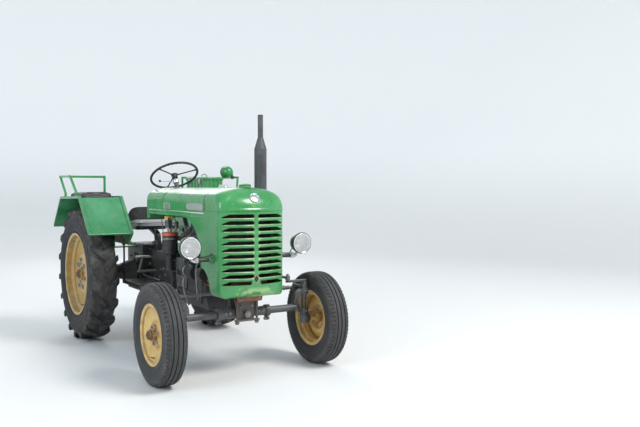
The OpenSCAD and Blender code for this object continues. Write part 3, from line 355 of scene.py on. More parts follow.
# %% A dish for a floor
def turned(section, steps, centre=ORIGIN, axis=UP, unit=0.001):
    profile = [(r * unit, z * unit) for r, z in section]
    nothing_selected()
    bpy.ops.mesh.primitive_plane_add(size=0.01, location=(0, 0, 0))
    obj = bpy.context.object
    edit_all(obj, "VERT")
    bpy.ops.mesh.merge(type="CENTER")
    bpy.ops.mesh.select_all(action="SELECT")
    bpy.ops.transform.translate(value=(profile[0][0], 0, profile[0][1]))
    for (r0, z0), (r1, z1) in zip(profile, profile[1:]):
        bpy.ops.mesh.extrude_region_move(TRANSFORM_OT_translate={"value": (r1 - r0, 0, z1 - z0)})
    bpy.ops.mesh.select_all(action="SELECT")
    bpy.ops.mesh.spin(steps=steps, angle=math.tau, center=(0, 0, 0), axis=(0, 0, 1))
    bpy.ops.mesh.select_all(action="SELECT")
    bpy.ops.mesh.remove_doubles(threshold=1e-6)
    bpy.ops.mesh.normals_make_consistent(inside=False)
    leave_edit()
    obj.rotation_mode = "QUATERNION"
    obj.rotation_quaternion = UP.rotation_difference(Vector(axis))
    obj.location = centre
    return settled(obj)


cove = [(0, 0), (9, 0)] + [(9 + 4 * math.sin(math.radians(a)), 4 - 4 * math.cos(math.radians(a)))
    for a in range(10, 91, 10)] + [(13, 8)]
floor = turned(cove, 96, unit=1)
floor.name = "floor"
outward(floor, inside=True)
smooth(floor, 40)
pale = Finish("pale_floor")
grain = pale.blend(pale.noise(40, 3), (0.73, 0.73, 0.725), (0.77, 0.77, 0.765))
floor.data.materials.append(pale.surface(Base_Color=pale.blend(pale.axis("Z").between(0.05, 2.5), grain,
    (0.93, 0.93, 0.93)), Roughness=0.75))

# %% Lamps and sky
def lamp(name, place, target, size, watts, colour):
    nothing_selected()
    direction = Vector(target) - Vector(place)
    bpy.ops.object.light_add(type="AREA", location=place)
    light = bpy.context.object
    light.name = name
    light.rotation_mode = "QUATERNION"
    light.rotation_quaternion = direction.to_track_quat("-Z", "Y")
    light.data.shape = "DISK"
    light.data.size = size
    light.data.energy = watts
    light.data.color = colour


lamp("key", (3.5, -6.5, 8.0), (0, 0, 0.6), 4.0, 820, (1.0, 0.98, 0.95))
lamp("fill", (-8.0, -3.0, 4.5), (0, 0, 0.8), 5.0, 330, (0.8, 0.91, 1.0))
lamp("rim", (2.0, 8.0, 6.0), (0, 0, 1.0), 5.0, 220, (1, 1, 1))

world = bpy.data.worlds.new("soft_sky")
bpy.context.scene.world = world
world.use_nodes = True
world.node_tree.nodes["Background"].inputs["Color"].default_value = (0.8, 0.91, 1.0, 1)
world.node_tree.nodes["Background"].inputs["Strength"].default_value = 0.62
print("camera, floor and three lamps are in place")

# %% [markdown]
# ## Finishes
# Old enamel isn't one green. It fades and chalks on top, darkens with oil below, chips to rust
# along edges, and has been touched up in patches. So the colour is built in layers, each laid
# over the last by a mask: noise for patches, the surface's own direction for dust, and a soft
# edge normal, compared with the true one, to find the edges that hands and tools wear.

# %% Worn enamel
def enamel(name, colour, faded, chip=(0.14, 0.055, 0.025), wear=1.0, dust=1.0, extra=None, gloss=0.26):
    f = Finish(name)
    patches = f.spots(2.6, 5, 0.6, 0.42, 0.66)
    tone = f.blend(patches, colour, faded)
    mottling = f.spots(19, 4, 0.6, 0.3, 0.8)
    tone = f.blend(mottling * 0.35, tone, tuple(c * 0.72 for c in colour))
    streaks = f.noise(9, 4, 0.6, stretch=(1, 1, 0.12)).between(0.56, 0.74)
    tone = f.blend(streaks * 0.22, tone, (0.21, 0.23, 0.17))
    settled_dust = f.up().between(0.55, 1.0) * f.spots(6, 5, 0.7, 0.35, 0.75)
    tone = f.blend(settled_dust * 0.22 * dust, tone, (0.42, 0.43, 0.37))
    low_dirt = (1 - f.axis("Z").between(0.35, 0.95)) * f.spots(14, 5, 0.65, 0.38, 0.66)
    tone = f.blend(low_dirt * 0.45 * dust, tone, (0.16, 0.13, 0.095))
    edge = f.edges(0.005) + f.noise(34, 5, 0.7) * 0.9
    chipped = edge.between(1.02 - 0.17 * wear, 1.12 - 0.1 * wear)
    primer = edge.between(0.9 - 0.17 * wear, 1.0 - 0.12 * wear)
    tone = f.blend(primer * 0.55, tone, tuple(min(1, c * 1.7 + 0.05) for c in faded))
    scratches = f.noise(70, 2, 0.5, (0.35, 1, 2.2)).between(0.7, 0.76) * f.noise(3.1, 2).between(0.5, 0.7)
    tone = f.blend(scratches * 0.5, tone, tuple(min(1, c * 1.5 + 0.06) for c in faded))
    tone = f.blend(chipped * 0.9, tone, chip)
    rough = gloss + patches * 0.1 + settled_dust * 0.25 + low_dirt * 0.3 + chipped * 0.4
    if extra:
        tone, rough = extra(f, tone, rough)
    waves = f.noise(7, 2, 0.5) * 0.8 + f.noise(160, 2, 0.5) * 0.05 - chipped * 0.12
    normal = f.bump(waves, 0.22, 0.004, f.rounded(0.004))
    return f.surface(Base_Color=tone, Roughness=rough, Normal=normal, Coat_Weight=0.35 - chipped * 0.35,
        Coat_Roughness=0.08)


GREEN = (0.026, 0.235, 0.058)
GREEN_FADED = (0.06, 0.305, 0.102)


def worn_chin(f, tone, rough):
    band = (1 - f.axis("Z").between(0.655, 0.69)) * (1 - f.axis("Y").between(-1.2, -1.12))
    rubbed = band * f.noise(4.2, 4, 0.55, stretch=(1, 1, 1.6)).between(0.475, 0.515)
    tone = f.blend(rubbed * 0.8, tone, (0.3, 0.5, 0.2))
    brow = f.axis("Z").between(1.262, 1.268) * (1 - f.axis("Z").between(1.285, 1.31))
    scraped = brow * f.noise(30, 5, 0.7, stretch=(0.5, 1, 2)).between(0.6, 0.64)
    tone = f.blend(scraped * 0.8, tone, (0.55, 0.52, 0.25))
    return tone, rough + rubbed * 0.12


def worn_and_lit_lips(f, tone, rough):
    step = ((f.axis("Z") - 0.7) / 0.049).fraction()
    # The bands along the top and bottom edge of each slat are lightened: partly wear, partly a painted
    # highlight where the lips catch the light.
    lip = step.between(0.9, 0.94) + (1 - step.between(0.56, 0.61)) * step.between(0.5, 0.54) * 0.6
    worn = lip * f.noise(22, 5, 0.7, stretch=(0.45, 1, 1)).between(0.36, 0.56)
    tone = f.blend(worn * 0.75, tone, (0.6, 0.62, 0.38))
    middle = (1 - f.axis("X").size().between(0.024, 0.036)) * f.spots(40, 4, 0.7, 0.35, 0.55)
    tone = f.blend(middle * 0.75, tone, (0.42, 0.52, 0.2))
    return worn_chin(f, tone, rough + worn * 0.15)


green = enamel("green_enamel", GREEN, GREEN_FADED)
green_slat = enamel("green_enamel_slats", GREEN, GREEN_FADED, wear=1.3, extra=worn_and_lit_lips)
green_nose = enamel("green_enamel_nose", GREEN, GREEN_FADED, wear=1.25, extra=worn_chin)
green_fender = enamel("green_enamel_fenders", (0.032, 0.222, 0.078), (0.078, 0.31, 0.15), wear=1.15, dust=1.3)
print("green enamel, in three states of wear")

# %% [markdown]
# ### Ochre wheels
# The wheels are sprayed ochre. Their hubs are rusty and oily, and brake dust and mud settle
# towards the rim. Both follow the distance from the wheel's own axis, so the mask is measured
# from there.

# %% Ochre enamel for wheels
# The last argument darkens the whole ochre as painted shade; 1.0 leaves it as sprayed.
def wheel_enamel(name, wheel, hub_r, rim_r, painted_shade):
    def rusty_hub(f, tone, rough):
        away = f.from_axle(wheel)
        hub = (1 - away.between(hub_r * 0.75, hub_r * 1.9)) * f.spots(26, 6, 0.7, 0.4, 0.58)
        tone = f.blend(hub * 0.85, tone, (0.17, 0.08, 0.035))
        muddy = away.between(rim_r * 0.8, rim_r * 1.02) * f.spots(17, 5, 0.7, 0.4, 0.62)
        tone = f.blend(muddy * 0.5, tone, (0.2, 0.16, 0.11))
        return tone, rough + hub * 0.4 + muddy * 0.3
    fresh, faded = [tuple(c * painted_shade for c in tone) for tone in ((0.64, 0.4, 0.115), (0.72, 0.505, 0.19))]
    return enamel(name, fresh, faded, chip=(0.16, 0.07, 0.03), wear=0.9, dust=0.5, extra=rusty_hub,
        gloss=0.36)


ochre_front = wheel_enamel("ochre_front", front_wheel, 0.065, 0.205, 1.0)
# The rear wheels take the front ochre darkened to 0.72: painted shade, as under the fenders.
ochre_rear_shaded = wheel_enamel("ochre_rear_shaded", rear_wheel, 0.1, 0.36, 0.72)

# %% [markdown]
# ### Rubber
# Tyre rubber greys with the sun. Dust stays in the grooves and on the sidewalls while the tread's
# face is rubbed dark, so the colour again follows the distance from the axle.

# %% Weathered rubber
# The last argument darkens the whole rubber as painted shade; 1.0 leaves it as it is.
def rubber(name, wheel, tread_r, groove, painted_shade=1.0):
    f = Finish(name)
    away = f.from_axle(wheel)
    grey = f.spots(5, 5, 0.65, 0.3, 0.75)
    fresh, greyed = [tuple(c * painted_shade for c in tone) for tone in ((0.023, 0.023, 0.026),
        (0.042, 0.042, 0.045))]
    tone = f.blend(grey, fresh, greyed)
    deep = 1 - away.between(tread_r - groove * 1.05, tread_r - groove * 0.35)
    deep = deep * away.between(tread_r * 0.8, tread_r * 0.93)
    tone = f.blend(deep * f.spots(12, 5, 0.7, 0.3, 0.7) * 0.55, tone, (0.135, 0.12, 0.1))
    face = away.between(tread_r - groove * 0.25, tread_r)
    tone = f.blend(face * f.spots(30, 4, 0.6, 0.3, 0.7) * 0.4, tone, (0.085, 0.083, 0.082))
    scuffs = f.spots(24, 6, 0.7, 0.56, 0.72)
    tone = f.blend(scuffs * 0.4, tone, (0.095, 0.088, 0.078))
    corner = (f.edges(0.005) + f.noise(36, 4, 0.7) * 0.8).between(0.82, 1.15)
    corner = corner * away.between(tread_r * 0.86, tread_r * 0.94)
    tone = f.blend(corner * 0.6, tone, (0.15, 0.146, 0.14))
    pitted = f.noise(90, 5, 0.7) * 0.5 + f.noise(420, 2, 0.5) * 0.25
    normal = f.bump(pitted, 0.35, 0.0015, f.rounded(0.004))
    return f.surface(Base_Color=tone, Roughness=0.62 + grey * 0.18 + scuffs * 0.1, Normal=normal)


rubber_front = rubber("rubber_front", front_wheel, front_tyre_r, 0.012)
# The rear rubber is the front's darkened to 0.42: painted shade.
rubber_rear_shaded = rubber("rubber_rear_shaded", rear_wheel, rear_tyre_r, 0.034, 0.42)
print("ochre and rubber for front and rear wheels")

# %% [markdown]
# ### Castings, bare metal and black paint
# Engine and axle castings have a sandy skin under oil and dust. Fasteners and rods are bare steel
# that has browned. Plated parts stay bright but are freckled.

# %% Iron, steel, plating and black
def casting(name, colour, oily, rust=0.35, skin=0.5, gloss=0.5, lower=None):
    f = Finish(name)
    patches = f.spots(7, 6, 0.68, 0.36, 0.68)
    tone = f.blend(patches, colour, oily)
    if lower:
        height = f.axis("Z") + f.noise(9, 4, 0.6) * 0.06
        tone = f.blend(height.between(0.625, 0.655), lower, tone)
    dusty = f.up().between(0.3, 0.95) * f.spots(16, 5, 0.7, 0.34, 0.66)
    tone = f.blend(dusty * 0.5, tone, (0.2, 0.175, 0.14))
    rusty = f.spots(13, 6, 0.72, 0.57, 0.68)
    tone = f.blend(rusty * rust, tone, (0.155, 0.066, 0.03))
    edge = (f.edges(0.004) + f.noise(40, 4, 0.7) * 0.7).between(0.78, 1.0)
    tone = f.blend(edge * 0.5, tone, tuple(min(1, c * 2.2 + 0.03) for c in colour))
    grains = f.noise(240, 4, 0.65) * skin + f.noise(20, 3, 0.5) * 0.5
    return f.surface(Base_Color=tone, Roughness=gloss - patches * 0.16 + dusty * 0.25, Metallic=0.25,
        Normal=f.bump(grains, 0.45, 0.0022, f.rounded(0.004)))


iron = casting("oily_casting", (0.06, 0.062, 0.066), (0.022, 0.02, 0.019))
iron_grey = casting("grey_casting", (0.105, 0.11, 0.118), (0.045, 0.043, 0.042), rust=0.25)
rod_grey = casting("rod_grey", (0.19, 0.195, 0.2), (0.085, 0.08, 0.075), rust=0.45, skin=0.2, gloss=0.42)
iron_red = casting("faded_primer", (0.25, 0.105, 0.068), (0.105, 0.058, 0.042), rust=0.6, skin=0.3,
    gloss=0.65, lower=(0.105, 0.095, 0.088))
rust_red = casting("rusty_primer", (0.33, 0.12, 0.07), (0.17, 0.075, 0.048), rust=0.5, skin=0.3, gloss=0.65)
casting_rusty = casting("rusty_casting", (0.15, 0.078, 0.045), (0.055, 0.036, 0.026), rust=0.7, skin=0.5,
    gloss=0.6)
steel = casting("browned_steel", (0.25, 0.24, 0.225), (0.11, 0.085, 0.065), rust=0.5, skin=0.2, gloss=0.45)


def plated(name, colour, rough, pits):
    f = Finish(name)
    freckles = f.spots(130, 4, 0.7, 0.62, 0.7) * pits
    haze = f.spots(8, 5, 0.6, 0.35, 0.75)
    tone = f.blend(haze * 0.25, colour, tuple(c * 0.72 for c in colour))
    tone = f.blend(freckles, tone, (0.2, 0.12, 0.07))
    return f.surface(Base_Color=tone, Metallic=1.0 - freckles * 0.7, Roughness=rough + haze * 0.09
        + freckles * 0.4, Normal=f.bump(f.noise(90, 3, 0.5), 0.05, 0.001, f.rounded(0.0015)))


chrome = plated("bright_plate", (0.8, 0.8, 0.81), 0.12, 0.7)
alloy = plated("dull_alloy", (0.56, 0.56, 0.55), 0.34, 0.8)


def black_paint(name, colour, gloss, rust):
    f = Finish(name)
    soot = f.spots(8, 5, 0.65, 0.35, 0.7)
    tone = f.blend(soot, colour, tuple(c * 1.9 + 0.006 for c in colour))
    rusty = f.spots(17, 6, 0.75, 0.6, 0.7)
    tone = f.blend(rusty * rust, tone, (0.135, 0.06, 0.03))
    dusty = f.up().between(0.4, 1.0) * f.spots(14, 5, 0.7, 0.35, 0.7)
    tone = f.blend(dusty * 0.35, tone, (0.18, 0.17, 0.15))
    edge = (f.edges(0.003) + f.noise(40, 4, 0.7) * 0.7).between(0.8, 1.0)
    tone = f.blend(edge * 0.5, tone, (0.16, 0.155, 0.15))
    return f.surface(Base_Color=tone, Roughness=gloss + soot * 0.16 + rusty * rust * 0.4,
        Normal=f.bump(f.noise(30, 3, 0.5) + f.noise(300, 2, 0.5) * 0.15, 0.18, 0.002, f.rounded(0.003)))


black = black_paint("satin_black", (0.014, 0.014, 0.015), 0.32, 0.25)
stack_black = black_paint("heat_black", (0.04, 0.041, 0.044), 0.42, 0.45)
hose = black_paint("hose_rubber", (0.018, 0.018, 0.019), 0.58, 0.0)
grey_hose = black_paint("grey_hose", (0.13, 0.125, 0.115), 0.55, 0.0)
print("castings, steel, plating and black")

# %% [markdown]
# ### Orange-red lid, lamp glass and upholstery
# Small accents carry a machine like this: the red lid of the air filter, clear fluted lamp
# glasses, and vinyl with a fine grain that has dried and dulled where people sit.

# %% Lid, glass and vinyl
red_lid = enamel("red_lid", (0.56, 0.075, 0.022), (0.64, 0.14, 0.06), wear=1.0, gloss=0.36)
yellow_top = enamel("yellow_top", (0.62, 0.43, 0.06), (0.66, 0.5, 0.15), wear=0.9, gloss=0.36)


def lamp_glass(name):
    f = Finish(name)
    flutes = f.waves("X", 62)
    prisms = f.waves("Z", 14, 0.4, "TRI")
    dusty = f.spots(30, 5, 0.7, 0.4, 0.75)
    glass = f.node("ShaderNodeBsdfPrincipled", {}, {"Base Color": (0.97, 0.98, 0.98), "Roughness": 0.03
        + dusty * 0.1, "Transmission Weight": 0.77, "IOR": 1.45,
        "Normal": f.bump(flutes * 0.7 + prisms * 0.5, 0.5, 0.0025)})
    f.node_output(glass)
    return f.material


def vinyl(name, colour, worn, grain=1.0):
    f = Finish(name)
    cells = f.node("ShaderNodeTexVoronoi", {"feature": "DISTANCE_TO_EDGE"},
        {"Vector": f.place, "Scale": 230.0})
    creases = f.spots(14, 6, 0.7, 0.35, 0.75)
    rubbed = f.up().between(0.5, 1.0) * f.spots(5, 4, 0.6, 0.35, 0.7)
    tone = f.blend(creases * 0.6, colour, tuple(c * 1.6 for c in colour))
    tone = f.blend(rubbed * 0.75, tone, worn)
    dust_in_grain = (1 - cells.between(0.02, 0.1)) * 0.35
    tone = f.blend(dust_in_grain, tone, tuple(min(1, c * 1.3 + 0.03) for c in worn))
    height = cells.between(0.0, 0.14) * 0.5 * grain + f.noise(45, 4, 0.6) * 0.5
    return f.surface(Base_Color=tone, Roughness=0.4 + rubbed * 0.2 + creases * 0.1,
        Normal=f.bump(height, 0.35, 0.0012), Sheen_Weight=0.08)


def two_tone(name, scale, detail, a, b, rough):
    f = Finish(name)
    return f.surface(Base_Color=f.blend(f.noise(scale, detail), a, b), Roughness=rough)


clear_glass = lamp_glass("fluted_glass")
bulb_white = two_tone("frosted_bulb", 60, 3, (0.78, 0.77, 0.72), (0.9, 0.89, 0.84), 0.22)
dial_white = two_tone("dial_face", 14, 4, (0.6, 0.58, 0.5), (0.7, 0.68, 0.6), 0.5)
black_vinyl = vinyl("black_vinyl", (0.017, 0.017, 0.019), (0.06, 0.058, 0.057))
grey_vinyl = vinyl("grey_vinyl", (0.27, 0.275, 0.285), (0.4, 0.405, 0.41), grain=0.8)
grip = vinyl("smooth_grip", (0.012, 0.012, 0.013), (0.04, 0.04, 0.041), grain=0.2)


def radiator_core(name):
    f = Finish(name)
    fins = f.waves("Z", 95, 0.3)
    tubes = f.waves("X", 24)
    tone = f.blend(fins.between(0.3, 0.8), (0.01, 0.01, 0.01), (0.052, 0.05, 0.046))
    tone = f.blend(f.spots(20, 5, 0.7, 0.45, 0.7) * 0.5, tone, (0.1, 0.085, 0.06))
    return f.surface(Base_Color=tone, Roughness=0.6 + fins * 0.1,
        Normal=f.bump(fins + tubes * 0.5, 0.5, 0.004))


core = radiator_core("radiator_core")
print("glass, vinyl and the radiator's core")

# %% [markdown]
# ### Slots
# A slot is a named place for colour on the CAD model, so that one tin of paint serves all its
# pieces. A finish nearly always belongs to the same slot, so each is noted here once.

# %% The usual slot of each finish
SLOTS = {"green_paint": (green, green_slat, green_nose, green_fender), "bright_steel": (chrome, alloy),
         "ochre_paint": (ochre_front, ochre_rear_shaded, red_lid, yellow_top), "red_iron": (iron_red, rust_red),
         "dark_iron": (iron, iron_grey, rod_grey, casting_rusty, steel), "vinyl": (black_vinyl,),
         "tyre": (rubber_front, rubber_rear_shaded, hose, grey_hose), "black_paint": (black, stack_black, core),
         "lens": (clear_glass, bulb_white, dial_white), "grey_vinyl": (grey_vinyl,), "grip": (grip,)}
usual_slot = {finish.name: slot for slot, finishes in SLOTS.items() for finish in finishes}
print(len(usual_slot), "finishes in", len(SLOTS), "slots")

# %% [markdown]
# ## CAD pieces under their finish
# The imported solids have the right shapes, as loose triangles. A merged copy of each can be shaded
# smooth wherever two faces meet at a small angle, which turns a many-sided hood or tyre into a
# round one, and it can then take its finish. Each copy stands for its solid.

# %% Smooth copies of the solids
LOOKS = [(iron, "engine_block"), (iron_grey, "cylinder_head"), (iron, "gearbox rear_axle"),
    (iron_red, "front_bolster"), (iron_grey, "front_axle"), (green_nose, "nose"), (core, "radiator"),
    (green, "hood fuel_tank"), (stack_black, "exhaust"), (black, "air_filter"), (iron_grey, "fuel_pump"),
    (black, "fan generator"), (chrome, "filler_caps"), (green, "dashboard"), (iron, "steering_box"),
    (iron_grey, "steering_column"), (grip, "steering_wheel"), (green_fender, "fender_left fender_right"),
    (green, "handrail_left handrail_right tool_box work_lamp"), (black, "driver_seat footplates"),
    (steel, "pedals levers"), (iron, "rear_hitch"), (iron_grey, "knuckle_left knuckle_right"),
    (ochre_front, "front_rim_left front_rim_right"), (rubber_front, "front_tyre_left front_tyre_right"),
    (rod_grey, "tie_rod drag_link"), (iron, "drop_arm_lever"), (ochre_rear_shaded, "rear_rim_left rear_rim_right"),
    (rubber_rear_shaded, "rear_tyre_left rear_tyre_right")]
ODD_SLOTS = {"generator": "dark_iron", "steering_column": "black_paint", "footplates": "green_paint"}
look_of = {name: finish for finish, names in LOOKS for name in names.split()}
body_of = {n: body for body, members in frame["record"]["behaviour"]["bodies"].items() for n in members}


def smooth_copy(name):
    obj = copied(nodes[name])
    plain(obj)
    edit_all(obj, "VERT")
    bpy.ops.mesh.remove_doubles(threshold=2e-6)
    leave_edit()
    if obj.data.has_custom_normals:
        bpy.ops.mesh.customdata_custom_splitnormals_clear()
    slot = ODD_SLOTS.get(name)
    finished(obj, name + "_finish", look_of[name], 32, slot, body_of[name])
    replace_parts(obj, name)
    return obj


def undress(name):
    bpy.data.objects.remove(dressed.pop(name))


dressed = {name: smooth_copy(name) for name in look_of}
print(len(dressed), "solids copied, merged and shaded smooth")

# %% [markdown]
# ## Fasteners
# Bolts hold the machine together and tell its size: a 13 mm head says sheet metal, a 24 mm head
# says axle. One hexagon head on its washer is modelled once, chamfered as a real one is, and
# copies are turned and moved to their places. Every row of bolts on a body ends as one piece.

# %% One bolt, and rows and rings of it
nothing_selected()
bpy.ops.mesh.primitive_cylinder_add(vertices=6, radius=0.5, depth=0.34, location=(0, 0, 0.23))
head = bpy.context.object
mesh = edit(head)
pick(mesh, head, mesh.faces, lambda face: face.normal.z > 0.9)
bpy.ops.mesh.inset(thickness=0.07, depth=0.06)
bpy.ops.mesh.inset(thickness=0.16, depth=-0.03)
nothing_selected()
bpy.ops.mesh.primitive_cylinder_add(vertices=18, radius=0.66, depth=0.09, location=(0, 0, 0.03))
washer = bpy.context.object
mesh = edit(washer)
pick(mesh, washer, mesh.faces, lambda face: face.normal.z > 0.9)
bpy.ops.mesh.inset(thickness=0.05, depth=0.025)
bolt = settled(joined([head, washer]))
patterns.append(bolt)


def bolts(name, places, size, finish=steel, body="chassis"):
    copies = []
    for place, out in places:
        twin = copied(bolt)
        turn = UP.rotation_difference(Vector(out)).to_matrix().to_4x4()
        twin.data.transform(Matrix.Translation(place) @ turn @ Matrix.Scale(size, 4))
        copies.append(twin)
    finished(joined(copies), name, finish, body=body)


def lathe(name, section, centre, axis, finish, steps=32, degrees=30, slot=None, body="chassis"):
    obj = turned(section, steps, centre, axis)
    return finished(obj, name, finish, degrees, slot, body)


def sector(a, b, steps):
    return round((math.atan2(b, a) % math.tau) / math.tau * steps - 0.5)


def row(a, b, count, out):
    return [(a.lerp(b, i / max(1, count - 1)), out) for i in range(count)]


def every(start, step, count):
    return [start + step * i for i in range(count)]


def grid(out, xs, ys, zs):
    return [(at(x, y, z), out) for x in xs for y in ys for z in zs]


def ring(centre, axis, radius, count, start):
    axis = Vector(axis).normalized()
    side = axis.orthogonal().normalized()
    if abs(axis.x) > 0.9:
        side = Vector((0, 1, 0))
    other = axis.cross(side)
    turn = [start + math.tau * i / count for i in range(count)]
    return [(centre + (side * math.cos(t) + other * math.sin(t)) * radius, axis) for t in turn]


# %% [markdown]
# ## Pipes, hoses and wires
# Fuel pipes are thin steel bent by hand, hoses are thick rubber. Both are a smooth line with a
# round section, so a Bezier curve with a bevel is the quickest way, turned into a mesh at the end.

# %% A pipe along points
def route(*points, side=1):
    return [at(side * x / 1000, y / 1000, z / 1000) for x, y, z in points]


def pipe(name, points, radius, finish, sides=3, soft=8, slot=None, body="chassis"):
    nothing_selected()
    bpy.ops.curve.primitive_bezier_curve_add(location=(0, 0, 0))
    obj = bpy.context.object
    line = obj.data.splines[0]
    line.bezier_points.add(len(points) - len(line.bezier_points))
    for knot, place in zip(line.bezier_points, points):
        knot.co = place
        knot.handle_left_type = knot.handle_right_type = "AUTO"
    obj.data.bevel_depth = radius
    obj.data.bevel_resolution = sides
    obj.data.resolution_u = soft
    obj.data.use_fill_caps = True
    only(obj)
    bpy.ops.object.convert(target="MESH")
    obj = bpy.context.object
    closed_up(obj, 1e-6)
    return finished(obj, name, finish, 50, slot, body)


# %% [markdown]
# ## Nose
# The sheet-metal nose is the face of the machine: flat louvred front, slightly bowed, and a
# forehead that rolls back into the hood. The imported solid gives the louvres. Its forehead has
# ridges where three flat views meet, so the copy is cut off at the brow and a dome is fitted
# whose corners grow rounder with height, as a drawn sheet does.

# %% Forehead dome
SHEET = 0.004
nose_half = 0.27
brow_z = 1.2355
crown_z = 1.415
shoulder = 1.29
seam_y = 0.105
bow_r = 0.521
nose_front = -0.223
DOME_FOOT, DOME_BACK, DOME_DEPTH = 1.25, -0.02, 0.203
FULLNESS = 0.72


def crown_half(z):
    if z <= shoulder:
        return nose_half
    rise = min(1.0, (z - shoulder) / (crown_z - shoulder)) ** (1 / FULLNESS)
    return nose_half * math.sqrt(1 - rise * rise) ** FULLNESS


def forehead_front(z):
    rise = min(1.0, max(0.0, (z - DOME_FOOT) / (crown_z - DOME_FOOT)))
    return DOME_BACK - DOME_DEPTH * math.sqrt(1 - rise * rise)


def forehead_ring(z, lip):
    grown = max(0.0, (z - DOME_FOOT) / (crown_z - DOME_FOOT))
    half = crown_half(z)
    front = forehead_front(z)
    corner_x = min(0.018 + 0.115 * grown, half * 0.6)
    corner_y = min(0.034 + 0.085 * grown, (seam_y - front) * 0.5)
    flat = half - corner_x
    bow = bow_r - math.sqrt(bow_r ** 2 - flat ** 2)
    face = [(flat * i / 9, front
        + bow_r - math.sqrt(bow_r ** 2 - (flat * i / 9) ** 2) - lip * min(1, (9 - i) / 1.5))
        for i in range(10)]
    start = front + bow
    corner = [(flat + corner_x * math.sin(math.radians(a)), start
        + corner_y * (1 - math.cos(math.radians(a)))) for a in (15, 30, 45, 60, 75, 90)]
    side = [(half, start + corner_y + (seam_y - start - corner_y) * i / 4) for i in range(1, 5)]
    right = face + corner + side
    return [(-x, y) for x, y in reversed(right[1:])] + right


LIP_LEVELS = [(brow_z, 0), (1.2385, 0.001), (1.243, 0.005), (1.249, 0.0065), (1.254, 0.0055), (1.26, 0.001)]
LEVELS = (1.268, 1.283, 1.3, 1.318, 1.336, 1.354, 1.37, 1.384, 1.395, 1.4035, 1.4095, 1.4128, 1.41445,
    crown_z)
rings = [[at(x, y, z) for x, y in forehead_ring(z, lip)] for z, lip in LIP_LEVELS + [(z, 0) for z in LEVELS]]
nothing_selected()
bpy.ops.mesh.primitive_grid_add(x_subdivisions=len(rings[0]) - 1, y_subdivisions=len(rings) - 1, size=1)
dome = bpy.context.object
for v in dome.data.vertices:
    column = round((v.co.x + 0.5) * (len(rings[0]) - 1))
    level = round((v.co.y + 0.5) * (len(rings) - 1))
    v.co = rings[level][column]
closed_up(dome, 1e-5)
outward(dome)
if sum(face.normal.dot(face.center - at(0, 0.3, 1.2)) for face in dome.data.polygons) < 0:
    edit_all(dome)
    bpy.ops.mesh.flip_normals()
with_modifier(dome, "SOLIDIFY", thickness=SHEET, offset=-1)
with_modifier(dome, "SUBSURF", levels=1, render_levels=1)
finished(dome, "nose_forehead", green_nose, 60)
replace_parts(dome, "nose")

# %% The louvred shell below the brow
shell = dressed["nose"]
edit_all(shell)
bpy.ops.mesh.bisect(plane_co=at(0, 0, brow_z), plane_no=(0, 0, 1), clear_outer=True, use_fill=False)
leave_edit()
print("nose:", len(dome.data.polygons), "faces in the forehead,", len(shell.data.polygons),
    "in the louvred shell")

# %% [markdown]
# ### Badge
# A round plated badge sits on the forehead. It is left blank here: a domed disc in a raised
# ring, turned as one profile.

# %% Badge
badge_z = 1.337
rise = (badge_z - DOME_FOOT) / (crown_z - DOME_FOOT)
badge_y = forehead_front(badge_z)
lean = Vector((0, -math.sqrt(1 - rise * rise) / DOME_DEPTH, rise / (crown_z - DOME_FOOT))).normalized()
lathe("nose_badge", [(0, 6.2), (14, 5.8), (28, 4.5), (32.5, 3.5), (33.5, 6.5), (37, 8), (40, 6), (41, 1),
    (41, -4), (0, -4)], at(0, badge_y, badge_z) - lean * 0.0005, lean, chrome, steps=64)

# %% [markdown]
# ## Hood trim
# A bright half-round moulding runs along each side above a narrow green lip. Two blank plates sit
# on each side of the hood, and a strap crosses it over the tank. The strap and the seam strip are
# slices of the hood itself, cut by two planes and swollen a little, so they fit it.

# %% Slices of the hood
def hood_slice(name, front, rear, swell, finish, slot=None):
    piece = copied(dressed["hood"])
    plain(piece)
    edit_all(piece)
    bpy.ops.mesh.bisect(plane_co=at(0, front, 0), plane_no=(0, -1, 0), clear_outer=True, use_fill=True)
    bpy.ops.mesh.select_all(action="SELECT")
    bpy.ops.mesh.bisect(plane_co=at(0, rear, 0), plane_no=(0, 1, 0), clear_outer=True, use_fill=True)
    bpy.ops.mesh.select_all(action="SELECT")
    bpy.ops.transform.shrink_fatten(value=swell)
    leave_edit()
    finished(piece, name, finish, 35, slot)


hood_slice("hood_seam_strip", 0.1052, 0.1105, 0.003, hose, "grip")
hood_slice("hood_strap", 0.962, 0.99, 0.0018, green)
hood_slice("hood_strap_seam", 0.9545, 0.9585, 0.0012, hose, "grip")

# %% Mouldings and blank plates
hood_side = 0.2657


def bar_piece(name, start, end, width, height, side, finish):
    middle = (start + end) / 2
    obj = block(middle, (width, (end - start).length, height))
    mesh = edit(obj, "EDGE")
    pick(mesh, obj, mesh.edges, lambda e: all(v.co.x * side > middle.x * side for v in e.verts))
    bpy.ops.mesh.bevel(offset=min(width, height) * 0.45, segments=4)
    leave_edit()
    finished(obj, name, finish, 40)


for word, side in SIDES.items():
    x = side * (hood_side + 0.002)
    bar_piece(f"hood_moulding_{word}", at(x, 0.112, 1.217), at(x, 1.276, 1.217), 0.009, 0.013, side, chrome)
    bar_piece(f"hood_lip_{word}", at(x, 0.112, 1.189), at(x, 1.282, 1.189), 0.007, 0.016, side, green)


PLATE = 0.004


